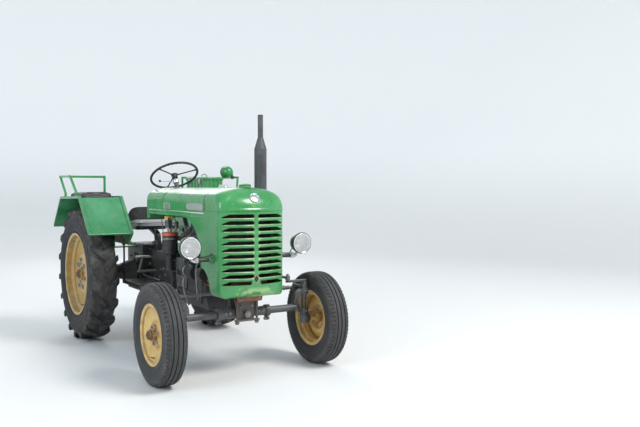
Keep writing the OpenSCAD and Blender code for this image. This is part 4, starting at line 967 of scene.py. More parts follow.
def blank_plate(name, middle, length, height, side, corner, finish):
    obj = block(middle, (PLATE, length, height))
    mesh = edit(obj, "EDGE")
    pick(mesh, obj, mesh.edges, lambda e: abs(e.verts[0].co.x - e.verts[1].co.x) > 0.003)
    bpy.ops.mesh.bevel(offset=corner, segments=6)
    mesh = bmesh.from_edit_mesh(obj.data)
    bpy.ops.mesh.select_mode(type="FACE")
    pick(mesh, obj, mesh.faces, lambda f: f.normal.x * side > 0.9)
    bpy.ops.mesh.inset(thickness=0.0045, depth=0.0012)
    bpy.ops.mesh.inset(thickness=0.0015, depth=-0.0022)
    leave_edit()
    finished(obj, name, finish)


for word, side in SIDES.items():
    x = side * (hood_side + 0.0022)
    blank_plate(f"hood_long_plate_{word}", at(x, 0.285, 1.263), 0.315, 0.052, side, 0.0245, alloy)
    blank_plate(f"hood_short_plate_{word}", at(x, 0.868, 1.258), 0.135, 0.05, side, 0.006, alloy)
print("hood trim on both sides")

# %% [markdown]
# ## Caps on the hood
# A flattened green dome closes the radiator and a plated cap the fuel tank. Both are turned from
# one profile, and the caps get a grip: every other face of the rim is pushed in.

# %% Filler caps
def knurled(name, section, centre, steps, low_z, high_z, finish):
    cap = turned(section, steps)
    mesh = edit(cap)

    def grip_face(face):
        place = face.calc_center_median()
        on_rim = abs(face.normal.z) < 0.5 and low_z < place.z < high_z
        return on_rim and sector(place.x, place.y, steps) % 2 == 0
    pick(mesh, cap, mesh.faces, grip_face)
    bpy.ops.mesh.inset(thickness=0.0006, depth=-0.0015, use_individual=True)
    leave_edit()
    cap.location = centre
    return finished(cap, name, finish, 35)


radiator_cap = knurled("radiator_cap", [(47, -6), (47, 4), (45.5, 6), (45.5, 17), (43, 20), (34, 23.8),
    (20, 25.6), (8, 26), (0, 26)], at(0, -0.04, crown_z), 48, 0.006, 0.017, green)
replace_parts(radiator_cap, "filler_caps")
tank_cap = knurled("tank_cap", [(41, -10), (41, 4), (37.5, 6), (37.5, 19), (35, 22.5), (20, 23.5), (18, 21.5),
    (0, 21.5)], at(0, 0.33, crown_z - 0.0043), 40, 0.006, 0.019, chrome)
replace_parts(tank_cap, "filler_caps")
undress("filler_caps")

# %% [markdown]
# ## Headlights
# A headlight is six turned parts on one axis: a painted bowl, a black rim, a plated bezel, a bright
# reflector, a bulb, and a domed, fluted glass. Each is drawn as half a section, as a list of
# radius and depth, and spun. A black stub arm with a double clamp carries it beside the nose.

# %% A lamp from its sections
BOWL = [(0, 107.5), (10, 107.2), (22, 105.5), (34, 101), (45, 94.5), (56, 84.5), (66, 70), (72, 56),
    (76.5, 40), (78.5, 24), (78.5, 12), (76.2, 12), (76.2, 24), (74.2, 40), (69.7, 56), (63.7, 68.5),
    (53.5, 83), (43, 92.5), (32, 99), (20, 103), (0, 104.5)]
RIM = [(76.5, 20), (79.5, 20), (81.2, 17), (83.2, 10), (83.8, 2), (83, -4), (80.5, -6.4), (77.5, -6.8),
    (75.2, -5.6), (74.5, -2), (75.2, 4), (76.5, 20)]
REFLECTOR = [(75.8, 5), (70, 16), (60, 32), (48, 45.5), (35, 56), (22, 63.5), (10, 67), (0, 68), (0, 69.5),
    (10, 68.6), (22, 65.1), (35, 57.7), (48, 47.2), (60, 33.8), (70, 18), (76.2, 6), (75.8, 5)]
BEZEL = [(68.5, -5.4), (73.5, -6.6), (75.2, -7.6), (76.8, -7), (75.2, -4), (68.5, -3.4), (68.5, -5.4)]
BULB = [(0, 30), (4.5, 30.8), (7.5, 34), (8.5, 39), (7.5, 44), (5, 48), (5, 52), (9, 52.5), (9, 67), (0, 67)]
GLASS = [(0, -10.5), (20, -10), (40, -8.6), (58, -6.2), (70, -3.6), (74.8, -1.6), (74.8, 1), (70, -0.8),
    (58, -3.4), (40, -5.8), (20, -7.2), (0, -7.7)]


def lamp_head(name, centre, axis, scale, node, glass_node):
    parts = [("bowl", BOWL, green, node), ("rim", RIM, black, node), ("bezel", BEZEL, chrome, node),
        ("reflector", REFLECTOR, chrome, node), ("bulb", BULB, bulb_white, glass_node),
        ("glass", GLASS, clear_glass, glass_node)]
    for part, section, finish, stands_for in parts:
        piece = turned([(r * scale, z * scale) for r, z in section], 64, centre, axis)
        finished(piece, f"{name}_{part}", finish)
        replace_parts(piece, stands_for)


LAMP_X, LAMP_Y, LAMP_Z = 0.465, -0.1, 0.98
for word, side in SIDES.items():
    middle = at(side * LAMP_X, LAMP_Y, LAMP_Z)
    lamp_head(f"headlight_{word}", middle, BACK, 1.0, "headlights", "headlight_glass")
    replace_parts(pipe(f"headlight_arm_{word}", route((271.2, -50, 884), (335, -50, 884), (402, -50, 884),
        side=side), 0.0145, black, 5), "headlights")
    neck = route((402, -50, 876), (424, -50, 880), (442, -52, 893), (454, -56, 914), side=side)
    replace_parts(pipe(f"headlight_neck_{word}", neck, 0.0125, alloy, 5), "headlights")
    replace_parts(lathe(f"headlight_boss_{word}", [(0, 0.4), (31, 0.4), (31, 7), (28, 9), (18.5, 10),
        (16.5, 30), (14, 33), (0, 33)], at(side * 0.2702, -0.05, 0.884), (side, 0, 0), green, steps=36),
        "headlights")
    bolts(f"headlight_boss_bolts_{word}", ring(at(side * 0.277, -0.05, 0.884), (side, 0, 0), 0.0245, 3, 0.5),
        0.0085)
    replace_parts(lathe(f"headlight_clamp_{word}", [(0, 0), (19, 0), (21.5, 2), (21.5, 13), (19.5, 15),
        (19.5, 19), (21.5, 21), (21.5, 34), (19, 36), (0, 36)], at(side * 0.402, -0.05, 0.866), UP, alloy,
        steps=28), "headlights")
    bolts(f"headlight_clamp_bolt_{word}", [(at(side * 0.402, -0.05, 0.9015), UP),
        (at(side * 0.402, -0.0715, 0.884), FRONT)], 0.016, alloy)
    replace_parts(lathe(f"headlight_foot_{word}", [(0, 0), (23, 0), (23, 6), (15, 10), (0, 10)],
        at(side * 0.4545, -0.0565, 0.9175), Vector((-side * 0.45, 0.1, -0.9)), alloy, steps=28), "headlights")
print("headlights: bowl, rim, bezel, reflector, bulb, glass, arm, boss and clamp, twice")

# %% [markdown]
# ## Front tyres
# The front tyre steers by ribs that run round it. Its section is drawn with the three grooves, the
# rings on the sidewall and the bead, then spun in many steps. On the shoulder every other step is
# pushed in, which leaves the row of teeth that grip in a rut.

# %% Front tyre
front_w = 0.164
front_rim_r = 0.2235


def tyre_section(rim_r, tread_r, width, bead, walls, tread):
    tall = tread_r - rim_r
    half = list(bead) + [(rim_r + tall * h, width / 2 * w) for h, w in walls] + list(tread)
    whole = half + [(r, -u) for r, u in reversed(half)]
    return whole + [whole[0]]


CROWN_DROP, CROWN_START, CROWN_SPAN = 0.0054, 0.03, 0.033


def crown(u):
    return front_tyre_r - CROWN_DROP * max(0.0, (u - CROWN_START) / CROWN_SPAN) ** 2


front_walls = [(0.03, 0.78), (0.06, 0.815), (0.085, 0.845), (0.1, 0.838), (0.12, 0.862), (0.16, 0.905),
    (0.22, 0.94), (0.3, 0.966), (0.35, 0.974), (0.36, 0.985), (0.385, 0.987), (0.395, 0.977), (0.5, 0.985),
    (0.6, 0.985), (0.61, 0.994), (0.63, 0.994), (0.64, 0.984), (0.72, 0.968), (0.79, 0.94), (0.845, 0.905)]
front_tread = [(0.356, 0.07), (0.3605, 0.066), (crown(0.063), 0.063), (crown(0.055), 0.055),
    (crown(0.0385), 0.0385), (0.358, 0.0362), (0.357, 0.0345), (0.357, 0.0315), (0.358, 0.0298),
    (crown(0.0275), 0.0275), (front_tyre_r, 0.0165), (front_tyre_r, 0.0055), (0.358, 0.0035), (0.357, 0.0018)]
front_bead = [(0.2045, 0.05), (0.225, 0.056)]
front_section = tyre_section(front_rim_r, front_tyre_r, front_w, front_bead, front_walls, front_tread)
TEETH = 144
TOOTH_LOW, TOOTH_HIGH, TOOTH_IN, TOOTH_OUT = 0.347, 0.3666, 0.058, 0.079


def toothed(tyre, wheel):
    mesh = edit(tyre)

    def tooth(face):
        place = face.calc_center_median() - wheel
        on_wall = TOOTH_LOW < math.hypot(place.y, place.z) < TOOTH_HIGH
        on_shoulder = on_wall and TOOTH_IN < abs(place.x) < TOOTH_OUT
        return on_shoulder and sector(place.y, place.z, TEETH) % 2 == 0
    count = pick(mesh, tyre, mesh.faces, tooth)
    bpy.ops.mesh.inset(thickness=0.0016, depth=-0.008)
    leave_edit()
    return count


for word, side in SIDES.items():
    wheel = Vector((side * front_wheel.x, front_wheel.y, front_wheel.z))
    tyre = turned(front_section, TEETH, wheel, (side, 0, 0), unit=1)
    count = toothed(tyre, wheel)
    finished(tyre, f"front_tyre_ribbed_{word}", rubber_front, 34, body=f"front_wheel_{word}")
    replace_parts(tyre, f"front_tyre_{word}")
    undress(f"front_tyre_{word}")
    print(tyre.name, len(tyre.data.polygons), "faces,", count, "pushed in")

# %% [markdown]
# ## Rear tyres
# The rear tyre pulls: its carcass is smooth, with slanting lugs on each half that meet as a V.
# One lug is modelled: a bar cut into lengths, wrapped round the tread by a formula so that its
# flanks flare towards the root, and bevelled. Copies are turned about the axle, half a step apart
# left and right.

# %% Rear carcass and its lugs
rear_w = 0.245
rear_rim_r = 0.38
carcass_r = rear_tyre_r - 0.034
rear_walls = [(0.03, 0.79), (0.06, 0.83), (0.08, 0.862), (0.095, 0.856), (0.115, 0.88), (0.16, 0.915),
    (0.24, 0.948), (0.33, 0.97), (0.34, 0.982), (0.375, 0.986), (0.385, 0.975), (0.5, 0.985), (0.6, 0.985),
    (0.608, 0.993), (0.625, 0.993), (0.633, 0.984), (0.72, 0.965), (0.8, 0.93), (0.86, 0.885), (0.92, 0.815),
    (0.965, 0.73)]
rear_tread = [(carcass_r - 0.0036, 0.074), (carcass_r - 0.0012, 0.056), (carcass_r, 0.032), (carcass_r, 0.01)]
rear_bead = [(0.361, 0.085), (0.3815, 0.091)]
rear_section = tyre_section(rear_rim_r, carcass_r, rear_w, rear_bead, rear_walls, rear_tread)
LUGS = 18


def between(x, rows):
    for (x0, y0), (x1, y1) in zip(rows, rows[1:]):
        if x <= x1:
            return y0 + (y1 - y0) * max(0.0, (x - x0) / (x1 - x0))
    return rows[-1][1]


lug_top = [(0.0, 0.61), (0.043, 0.6098), (0.07, 0.6078), (0.088, 0.604), (0.106, 0.597), (0.1205, 0.588)]
lug_foot = [(0.0, 0.57), (0.08, 0.564), (0.1, 0.548), (0.1205, 0.545)]
LUG_START, LUG_LENGTH, LUG_HALF, LUG_FLARE = -0.004, 0.1245, 0.0262, 0.007
LUG_LEAD, LUG_SLANT, LUG_TURN_R = 0.02, 0.9, 0.592
lug = block((0.5, 0, 0.5), (1, 1, 1))
edit(lug)
for cut in (0.06, 0.15, 0.28, 0.42, 0.56, 0.68, 0.78, 0.87, 0.94):
    bpy.ops.mesh.select_all(action="SELECT")
    bpy.ops.mesh.bisect(plane_co=(cut, 0, 0), plane_no=(1, 0, 0))
bpy.ops.mesh.select_all(action="SELECT")
bpy.ops.mesh.bisect(plane_co=(0, 0, 0.45), plane_no=(0, 0, 1))
leave_edit()
for v in lug.data.vertices:
    s, across, tall = v.co
    x = LUG_START + s * LUG_LENGTH
    half = LUG_HALF + LUG_FLARE * (1 - tall) ** 1.6
    half -= 0.004 * max(0.0, 1 - s / 0.12) + 0.003 * max(0.0, (s - 0.85) / 0.15)
    turn = ((x - LUG_LEAD) * LUG_SLANT + across * 2 * half) / LUG_TURN_R
    r = between(x, lug_foot) + (between(x, lug_top) - between(x, lug_foot)) * tall
    v.co = Vector((x, r * math.sin(turn), r * math.cos(turn)))
closed_up(lug, 1e-6)
with_modifier(lug, "BEVEL", width=0.0042, segments=2, limit_method="ANGLE", angle_limit=math.radians(38))
lug.name = "lug"
patterns.append(lug)
mirrored_lug = copied(lug)
mirrored_lug.data.transform(Matrix.Scale(-1, 4, Vector((1, 0, 0))))
outward(mirrored_lug)
patterns.append(mirrored_lug)

for word, side in SIDES.items():
    wheel = Vector((side * rear_wheel.x, rear_wheel.y, rear_wheel.z))
    carcass = turned(rear_section, 96, wheel, (side, 0, 0), unit=1)
    lugs = []
    for i in range(LUGS):
        for pattern, shift in ((lug, 0.0), (mirrored_lug, 0.5)):
            twin = copied(pattern)
            twin.data.transform(Matrix.Translation(wheel)
                @ Matrix.Rotation(-math.tau * (i + shift) / LUGS, 4, "X"))
            lugs.append(twin)
    tyre = joined([carcass] + lugs)
    finished(tyre, f"rear_tyre_lugged_{word}", rubber_rear_shaded, 34, body=f"rear_wheel_{word}")
    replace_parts(tyre, f"rear_tyre_{word}")
    undress(f"rear_tyre_{word}")
    print(tyre.name, len(tyre.data.polygons), "faces")

# %% [markdown]
# ## Wheel fittings
# Wheels carry big bolts round the hub, a cap over the bearing and a valve through the rim. They
# are placed on rings about each axle and ride on the wheel, so they turn with it.

# %% Bolts, caps and valves on four wheels
for word, side in SIDES.items():
    out = (side, 0, 0)
    front = Vector((side * front_wheel.x, front_wheel.y, front_wheel.z))
    rear = Vector((side * rear_wheel.x, rear_wheel.y, rear_wheel.z))
    bolts(f"front_wheel_bolts_{word}", ring(front + Vector((side * 0.0342, 0, 0)), out, 0.069, 6, 0.3), 0.021,
        body=f"front_wheel_{word}")
    lathe(f"front_hub_cap_{word}", [(0, -4), (37.5, -4), (39, -2), (39, 3), (34.5, 5), (33.5, 20),
        (30, 26.5), (20, 30.5), (10, 31.8), (6, 32), (6, 37), (3.5, 39.5), (0, 40)], front
        + Vector((side * 0.0595, 0, 0)), out, casting_rusty, steps=36, body=f"front_wheel_{word}")
    bolts(f"front_hub_cap_screws_{word}", ring(front + Vector((side * 0.0602, 0, 0)), out, 0.0432, 4, 0.7),
        0.0075, body=f"front_wheel_{word}")
    pipe(f"front_valve_{word}", [front + Vector((side * x, 0.0, z)) for x, z in ((0.02, -0.17),
        (0.045, -0.166), (0.062, -0.158))], 0.0038, hose, body=f"front_wheel_{word}")
    bolts(f"rear_wheel_bolts_{word}", ring(rear + Vector((side * 0.0542, 0, 0)), out, 0.13, 7, 0.2), 0.034,
        body=f"rear_wheel_{word}")
    bolts(f"rear_hub_screws_{word}", ring(rear + Vector((side * 0.0652, 0, 0)), out, 0.051, 6, 0.1), 0.012,
        body=f"rear_wheel_{word}")
    lathe(f"rear_hub_nut_{word}", [(0, -2), (36, -2), (36, 4), (33, 10), (22, 15), (20, 15), (18, 22),
        (10, 23.5), (0, 23.5)], rear + Vector((side * 0.078, 0, 0)), out, casting_rusty, steps=6, degrees=20,
        body=f"rear_wheel_{word}")
    pipe(f"rear_valve_{word}", [rear + Vector((side * x, 0.0, z)) for x, z in ((-0.01, -0.3), (0.03, -0.298),
        (0.052, -0.288))], 0.0042, hose, body=f"rear_wheel_{word}")
print("wheel bolts, caps and valves on", 2 * len(SIDES), "wheels")

# %% [markdown]
# ## Belt and hoses
# A fan belt is a loop pulled tight round three pulleys, so its path is the outline of three
# circles seen from the front. The path is laid as a row of cross-sections, and a grid whose
# columns follow the row becomes the belt's skin. The same skin serves for anything that is lofted.

# %% Skin over a row of rings
def skin(rings, loop=False):
    rows = rings + [rings[0]] if loop else rings
    nothing_selected()
    bpy.ops.mesh.primitive_grid_add(x_subdivisions=len(rows[0]), y_subdivisions=len(rows) - 1, size=1)
    obj = bpy.context.object
    for v in obj.data.vertices:
        column = round((v.co.x + 0.5) * len(rows[0])) % len(rows[0])
        v.co = rows[round((v.co.y + 0.5) * (len(rows) - 1))][column]
    closed_up(obj, 1e-6)
    if not loop:
        edit_all(obj)
        bpy.ops.mesh.fill_holes(sides=0)
        bpy.ops.mesh.select_all(action="SELECT")
        bpy.ops.mesh.normals_make_consistent(inside=False)
        leave_edit()
    return obj


def tight_loop(circles):
    path = []
    for i in range(72):
        a = math.tau * i / 72
        out = Vector((math.cos(a), math.sin(a)))
        x, z, r = max(circles, key=lambda c: c[0] * out.x + c[1] * out.y + c[2])
        path.append((Vector((x, z)) + out * r, out))
    return path


BELT_Y = 0.26
loop = tight_loop([(0, 0.64, 0.0715), (0, 0.96, 0.0675), (-0.205, 0.74, 0.0475)])
belt_rings = [[at(p.x - out.x * d, BELT_Y + w, p.y - out.y * d) for w, d in ((-0.0065, 0), (0.0065, 0),
    (0.0045, 0.009), (-0.0045, 0.009))] for p, out in loop]
belt = finished(skin(belt_rings, True), "fan_belt", hose)


def clamp_ring(name, centre, axis, radius):
    band = turned([(radius, -0.006), (radius + 0.0018, -0.006), (radius + 0.0018, 0.006), (radius, 0.006),
        (radius, -0.006)], 32, centre, axis, unit=1)
    finished(band, name, alloy)


pipe("top_hose", route((0, 138, 1235), (0, 185, 1236), (0, 240, 1226), (0, 286, 1190), (0, 306, 1130),
    (0, 312, 1060), (0, 316, 1020)), 0.0285, hose, 7)
clamp_ring("top_hose_clamp", at(0, 0.148, 1.2355), BACK, 0.0285)
clamp_ring("top_hose_clamp_low", at(0, 0.3145, 1.036), UP, 0.0285)
lathe("thermostat_housing", [(0, 0), (30, 0), (38, 4), (38, 18), (30, 26), (27.5, 60), (0, 60)],
    at(0, 0.316, 0.965), UP, iron_grey)
pipe("bottom_hose", route((150, 94, 775), (152, 165, 762), (150, 250, 775), (118, 300, 815), (86, 308, 850)),
    0.02, hose, 5)
print("belt and hoses:", len(belt.data.polygons), "faces in the belt")

# %% [markdown]
# ## Air filter and fuel filter
# The oil-bath air filter is a black pot with two clamp bands, and a wing nut holds its red lid. The
# fuel filter hangs from the tank with its yellow head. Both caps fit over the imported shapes.

# %% Filters
FILTER = (-0.25, 0.85)
lathe("air_filter_lid", [(0, 0.5), (66, 0.5), (67.2, 1.5), (67.5, 18), (66, 22.5), (60, 26.2),
    (56, 26.2), (54, 29), (40, 31.5), (20, 32.5), (13.5, 33), (13, 36.5), (0, 36.5)], at(*FILTER, 1.0085), UP,
    red_lid, steps=64)
nut = turned([(0, 0), (8.5, 0), (8, 7), (6, 10), (3.5, 11), (3, 20), (0, 20)], 24, at(*FILTER, 1.045))
wings = [turned([(0, -1.6), (9, -1.6), (10.5, 0), (9, 1.6), (0, 1.6)], 24,
    at(FILTER[0] + s * 0.0125, FILTER[1], 1.0545), (0, 1, 0)) for s in (-1, 1)]
finished(joined([nut] + wings), "air_filter_wing_nut", alloy, 35)
for i, z in enumerate((0.905, 0.985)):
    lathe(f"air_filter_band_{i}", [(62, -8), (63.6, -8), (64.2, -6), (64.2, 6), (63.6, 8), (62, 8), (62, -8)],
        at(*FILTER, z), UP, (black, steel)[i], steps=64, slot="dark_iron")
bolts("air_filter_band_bolts", [(at(FILTER[0] - 0.03, FILTER[1] - 0.059, 0.985), FRONT),
    (at(-0.175, 0.8355, 0.893), FRONT)], 0.012)
lathe("air_filter_cuff", [(0, 0), (33.5, 0), (35, 2), (35, 16), (33.5, 18), (0, 18)], at(*FILTER, 0.715), UP,
    hose, steps=40)
lathe("fuel_filter_head", [(0, 0), (34.5, 0), (35.8, 1.5), (35.8, 9), (34.5, 11), (34.5, 24), (35.8, 26),
    (35.8, 33), (33.5, 36), (13.5, 37.5), (13.5, 47), (0, 47)], at(-0.2, 1.0, 1.131), UP, yellow_top,
    steps=48)
lathe("fuel_filter_base", [(0, -13), (7, -13), (9, -11), (9, -4), (24, -2), (31.2, 3), (31.2, 10), (0, 10)],
    at(-0.2, 1.0, 1.056), UP, alloy, steps=36)

# %% [markdown]
# ## Fuel injection
# Diesel fuel goes to each cylinder in its own steel pipe. The four pipes are bent to about the
# same length, so they leave the pump side by side and fan out. Union nuts hold both ends.

# %% Injector pipes and fuel lines
CYLINDERS = 4
bore_y = [0.425 + 0.138 * i for i in range(CYLINDERS)]
unions = []
for i, y in enumerate(bore_y):
    outlet = at(-0.186, 0.641 + 0.036 * i, 0.862)
    head_in = at(-0.1225, y + 0.045, 1.074)
    swing = 0.03 + 0.01 * abs(i - 1.5)
    pipe(f"injector_pipe_{i + 1}", [outlet, outlet + Vector((-0.004, 0, 0.035)), outlet.lerp(head_in, 0.3)
        + Vector((-0.022 - swing * 0.3, 0, 0.02)), outlet.lerp(head_in, 0.6)
        + Vector((-0.026 - swing * 0.3, 0, 0.012)), head_in + Vector((-0.024, 0, -0.026)), head_in
        + Vector((-0.012, 0, 0.004)), head_in + Vector((-0.001, 0, 0.006))], 0.0034, steel, 2,
        slot="bright_steel")
    unions += [(at(-0.186, 0.641 + 0.036 * i, 0.8645), UP), (at(-0.1215, y + 0.045, 1.07),
        Vector((-0.33, 0, 0.94)))]
bolts("injector_unions", unions, 0.015, alloy)
bolts("injector_clamps", [(at(-0.094, y + 0.045 + s * 0.021, 1.0095), UP) for y in bore_y for s in (-1, 1)],
    0.014)
pipe("leak_off_line", [at(-0.116, bore_y[0] + 0.02, 1.062)] + [at(-0.112, y + 0.045, 1.0815
    if i % 2 else 1.08) for i, y in enumerate(bore_y)] + [at(-0.122, 0.925, 1.078), at(-0.16, 0.965, 1.09),
    at(-0.192, 0.985, 1.14)], 0.0028, steel, 2, slot="bright_steel")
pipe("fuel_feed", route((-213, 968, 1148), (-226, 935, 1120), (-214, 915, 1020), (-222, 935, 900),
    (-214, 880, 800), (-200, 810, 772)), 0.0062, hose)
pipe("fuel_return", route((-190, 966, 1145), (-172, 940, 1110), (-164, 905, 1030), (-182, 860, 930),
    (-172, 800, 850), (-168, 770, 835)), 0.0045, steel, slot="bright_steel")
bolts("pump_cover_screws", grid(RIGHT, (-0.2185,), every(0.628, 0.045, 4), (0.746, 0.82)), 0.0085)
lathe("pump_front_cover", [(0, 0), (27, 0), (28.5, 1.5), (28.5, 6), (20, 7.5), (6, 7.5), (6, 12), (0, 12)],
    at(-0.186, 0.5945, 0.772), FRONT, alloy, slot="dark_iron")
bolts("pump_front_screws", ring(at(-0.186, 0.588, 0.772), FRONT, 0.0235, 4, 0.8), 0.0075)
pipe("governor_rod", route((-226, 800, 800), (-232, 860, 815), (-214, 1060, 960), (-150, 1300, 1130)), 0.004,
    steel, 2, 4)
print("fuel lines:", CYLINDERS, "injector pipes and", len(unions), "union nuts")

# %% [markdown]
# ## Bolts that hold the engine
# Head nuts along both edges, knobs on the rocker cover, rows along the sump, a ring round the
# timing cover, and the rows that hold the bell housing. Their spacing is what makes an engine
# read as one.

# %% Engine fasteners
bolts("head_nuts", [(at(side * 0.101, 0.372 + 0.0828 * i, 1.0095), UP) for side in (-1, 1) for i in range(7)
    if side > 0 or i % 2 == 0], 0.0175)
bolts("sump_bolts", grid(DOWN, (-0.163, 0.163), every(0.35, 0.0466, 13), (0.5455,)), 0.0125)
bolts("timing_cover_bolts", [(at(0.088 * math.cos(a), 0.2852, 0.8 + 0.088 * math.sin(a)), FRONT)
    for a in [math.radians(d) for d in (-35, -8, 20, 160, 188, 215)]] + [(at(0.073 * math.cos(a), 0.2852, 0.64
    + 0.073 * math.sin(a)), FRONT) for a in [math.radians(d) for d in (-150, -115, -65, -30)]], 0.013)
bolts("bell_housing_bolts", grid(BACK, (-0.19, 0.19), (0.9485,), (0.45, 0.535, 0.62, 0.705, 0.79, 0.87)),
    0.0165)
for word, side in reversed(SIDES.items()):
    plugs = [turned([(0, -1), (25.5, -1), (27.5, 1), (25.5, 5), (15, 3.5), (6, 6), (0, 6.2)], 32,
        at(side * 0.1455, y, 0.83), (side, 0, 0)) for y in bore_y]
    finished(joined(plugs), f"core_plugs_{word}", casting_rusty)
hatch = block(at(-0.162, 0.79, 0.625), (0.01, 0.19, 0.095), 0.004, 2)
finished(hatch, "crankcase_cover", iron_grey)
bolts("crankcase_cover_bolts", [(at(-0.1668, 0.79 + dy, 0.625 + dz), RIGHT) for dy in (-0.085, 0, 0.085)
    for dz in (-0.038, 0.038)], 0.0125)
knobs = [turned([(0, 0), (16, 0), (16, 4), (11, 6), (11, 10), (14.5, 12), (15, 20), (12, 25), (0, 26)], 24,
    at(0, y, 1.0865)) for y in (0.48, 0.78)]
finished(joined(knobs), "rocker_cover_knobs", alloy, 35)
lathe("oil_filler_cap", [(0, 0), (26, 0), (26, 10), (31, 12), (31, 24), (26, 28), (0, 30)],
    at(0, 0.63, 1.0855), UP, black, steps=40)
pipe("dipstick", route((-160, 905, 560), (-168, 906, 700), (-166, 905, 830), (-150, 905, 865),
    (-150, 905, 885), (-162, 905, 893), (-170, 905, 880)), 0.0032, steel, 2)
pipe("breather", route((-150, 350, 735), (-178, 345, 720), (-184, 342, 640), (-184, 345, 500)), 0.0115, iron,
    4)
pipe("drain_hose_front", route((-176, 380, 838), (-206, 372, 815), (-214, 372, 640), (-198, 382, 520)),
    0.0085, grey_hose, 4)
pipe("drain_hose_rear", route((-176, 610, 700), (-214, 606, 690), (-222, 600, 560), (-200, 590, 480)), 0.0085,
    grey_hose, 4)
pipe("oil_line", route((-145, 900, 700), (-190, 915, 706), (-205, 925, 800), (-196, 932, 960),
    (-150, 952, 1080), (-115, 1100, 1150), (-130, 1330, 1270)), 0.0035, steel, 2, slot="bright_steel")
pipe("heat_sender_line", route((20, 320, 1000), (-60, 318, 1015), (-128, 360, 1020), (-136, 600, 1030),
    (-132, 930, 1060), (-100, 1150, 1165), (-125, 1330, 1285)), 0.0026, hose, 2, slot="dark_iron")

# %% [markdown]
# ## Generator, starter and manifolds
# The generator's end plates have screws and two terminals, and its pulley a slotted fan. The
# inlet log and exhaust manifold are held to the head by studs with nuts, two beside each port.

# %% Electric machines and manifold studs
GEN = (-0.205, 0.74)
fan_disc = turned([(12, 0), (52, 0), (54.5, 2), (52, 4), (12, 4), (12, 0)], 40, at(GEN[0], 0.288, GEN[1]),
    BACK)
mesh = edit(fan_disc)
pick(mesh, fan_disc, mesh.faces, lambda f: abs(f.normal.y) > 0.9
    and sector(*(f.calc_center_median() - at(GEN[0], 0, GEN[1])).xz, 40) % 4 == 0)
bpy.ops.mesh.inset(thickness=0.0005, depth=0.0022)
leave_edit()
finished(fan_disc, "generator_fan", steel)
for y, out, tag in ((0.4118, FRONT, "front"), (0.5782, BACK, "rear")):
    bolts(f"generator_screws_{tag}", ring(at(GEN[0], y, GEN[1]), out, 0.044, 4, 0.6), 0.009)
lathe("generator_band", [(54, -12), (55.6, -12), (55.6, 12), (54, 12), (54, -12)], at(GEN[0], 0.548, GEN[1]),
    BACK, alloy, steps=48)
bolts("generator_terminals", [(at(GEN[0] - 0.018, 0.47, GEN[1] + 0.0505), UP),
    (at(GEN[0] - 0.018, 0.5, GEN[1] + 0.0505), UP)], 0.011, alloy)
for i, y in enumerate((0.47, 0.5)):
    pipe(f"generator_wire_{i}", [at(GEN[0] - 0.018, y, GEN[1] + 0.055),
        at(GEN[0] - 0.022, y + 0.02, GEN[1] + 0.085), at(-0.19, 0.56 + 0.02 * i, 0.93),
        at(-0.172, 0.56 + 0.02 * i, 1.06), at(-0.15, 0.64, 1.15), at(-0.14, 0.9, 1.17)], 0.0028, hose, 2)
bolts("starter_screws", ring(at(0.204, 0.6805, 0.64), FRONT, 0.036, 2, 0.4) + ring(at(0.184, 0.7305, 0.715),
    FRONT, 0.014, 3, 0.2), 0.01, alloy)
bolts("manifold_nuts", [(at(side * 0.1255 if side > 0 else -0.1155, y + s * 0.0245, 0.982 + s * 0.01),
    (side, 0, 0)) for side in (-1, 1) for y in bore_y for s in (-1, 1)], 0.0135)
rib_band = [turned([(22, -8), (26.5, -8), (26.5, 8), (22, 8), (22, -8)], 36, at(-0.158, y, 0.982), BACK)
    for y in (0.494, 0.632, 0.77)]
finished(joined(rib_band), "inlet_log_bands", iron_grey)
print("engine bay: fasteners, hoses, generator and starter details")

# %% [markdown]
# ## Front axle and steering joints
# The axle is an inner tube in two clamped sleeves, with a fork at each end that holds the kingpin.
# Nuts and grease nipples at the joints show where the parts turn.

# %% Nuts and nipples on the axle
AXLE_Z = 0.462
bolts("pedestal_nuts", [(at(sx * 0.082, sy * 0.072, AXLE_Z - 0.0605), DOWN) for sx in (-1, 1)
    for sy in (-1, 1)], 0.03)
bolts("axle_clamp_bolts", [(at(side * 0.205 + s * 0.0132, 0, AXLE_Z - 0.062), (s, 0, 0)) for side in (-1, 1)
    for s in (-1, 1)], 0.022)
bolts("axle_sleeve_bolts", [(at(side * x, -0.0352, AXLE_Z + 0.006), FRONT) for side in (-1, 1)
    for x in (0.155, 0.12)], 0.0165)
bolts("bolster_bolts", grid(FRONT, (-0.11, 0.11), (-0.1102,), (0.68,))
    + [(at(side * 0.1502, y, 0.68), (side, 0, 0)) for side in (-1, 1) for y in (0.23, 0.285)], 0.022)
bolts("pedestal_plate_bolts", [(at(x, -0.0602, z), FRONT) for x, z in ((-0.068, 0.612), (0.068, 0.612),
    (-0.046, 0.52), (0.046, 0.52))], 0.018)
lathe("axle_pivot_nut", [(0, 0), (28, 0), (28, 10), (24, 13), (14, 14), (12, 20), (0, 20)],
    at(0, -0.0795, AXLE_Z), FRONT, steel, steps=6, degrees=20)


def nipple(place, out):
    return turned([(0, 0), (4.5, 0), (4.5, 4), (2.8, 5), (2.8, 9), (3.6, 10.5), (2.8, 13), (0, 13.5)], 12,
        place, out)


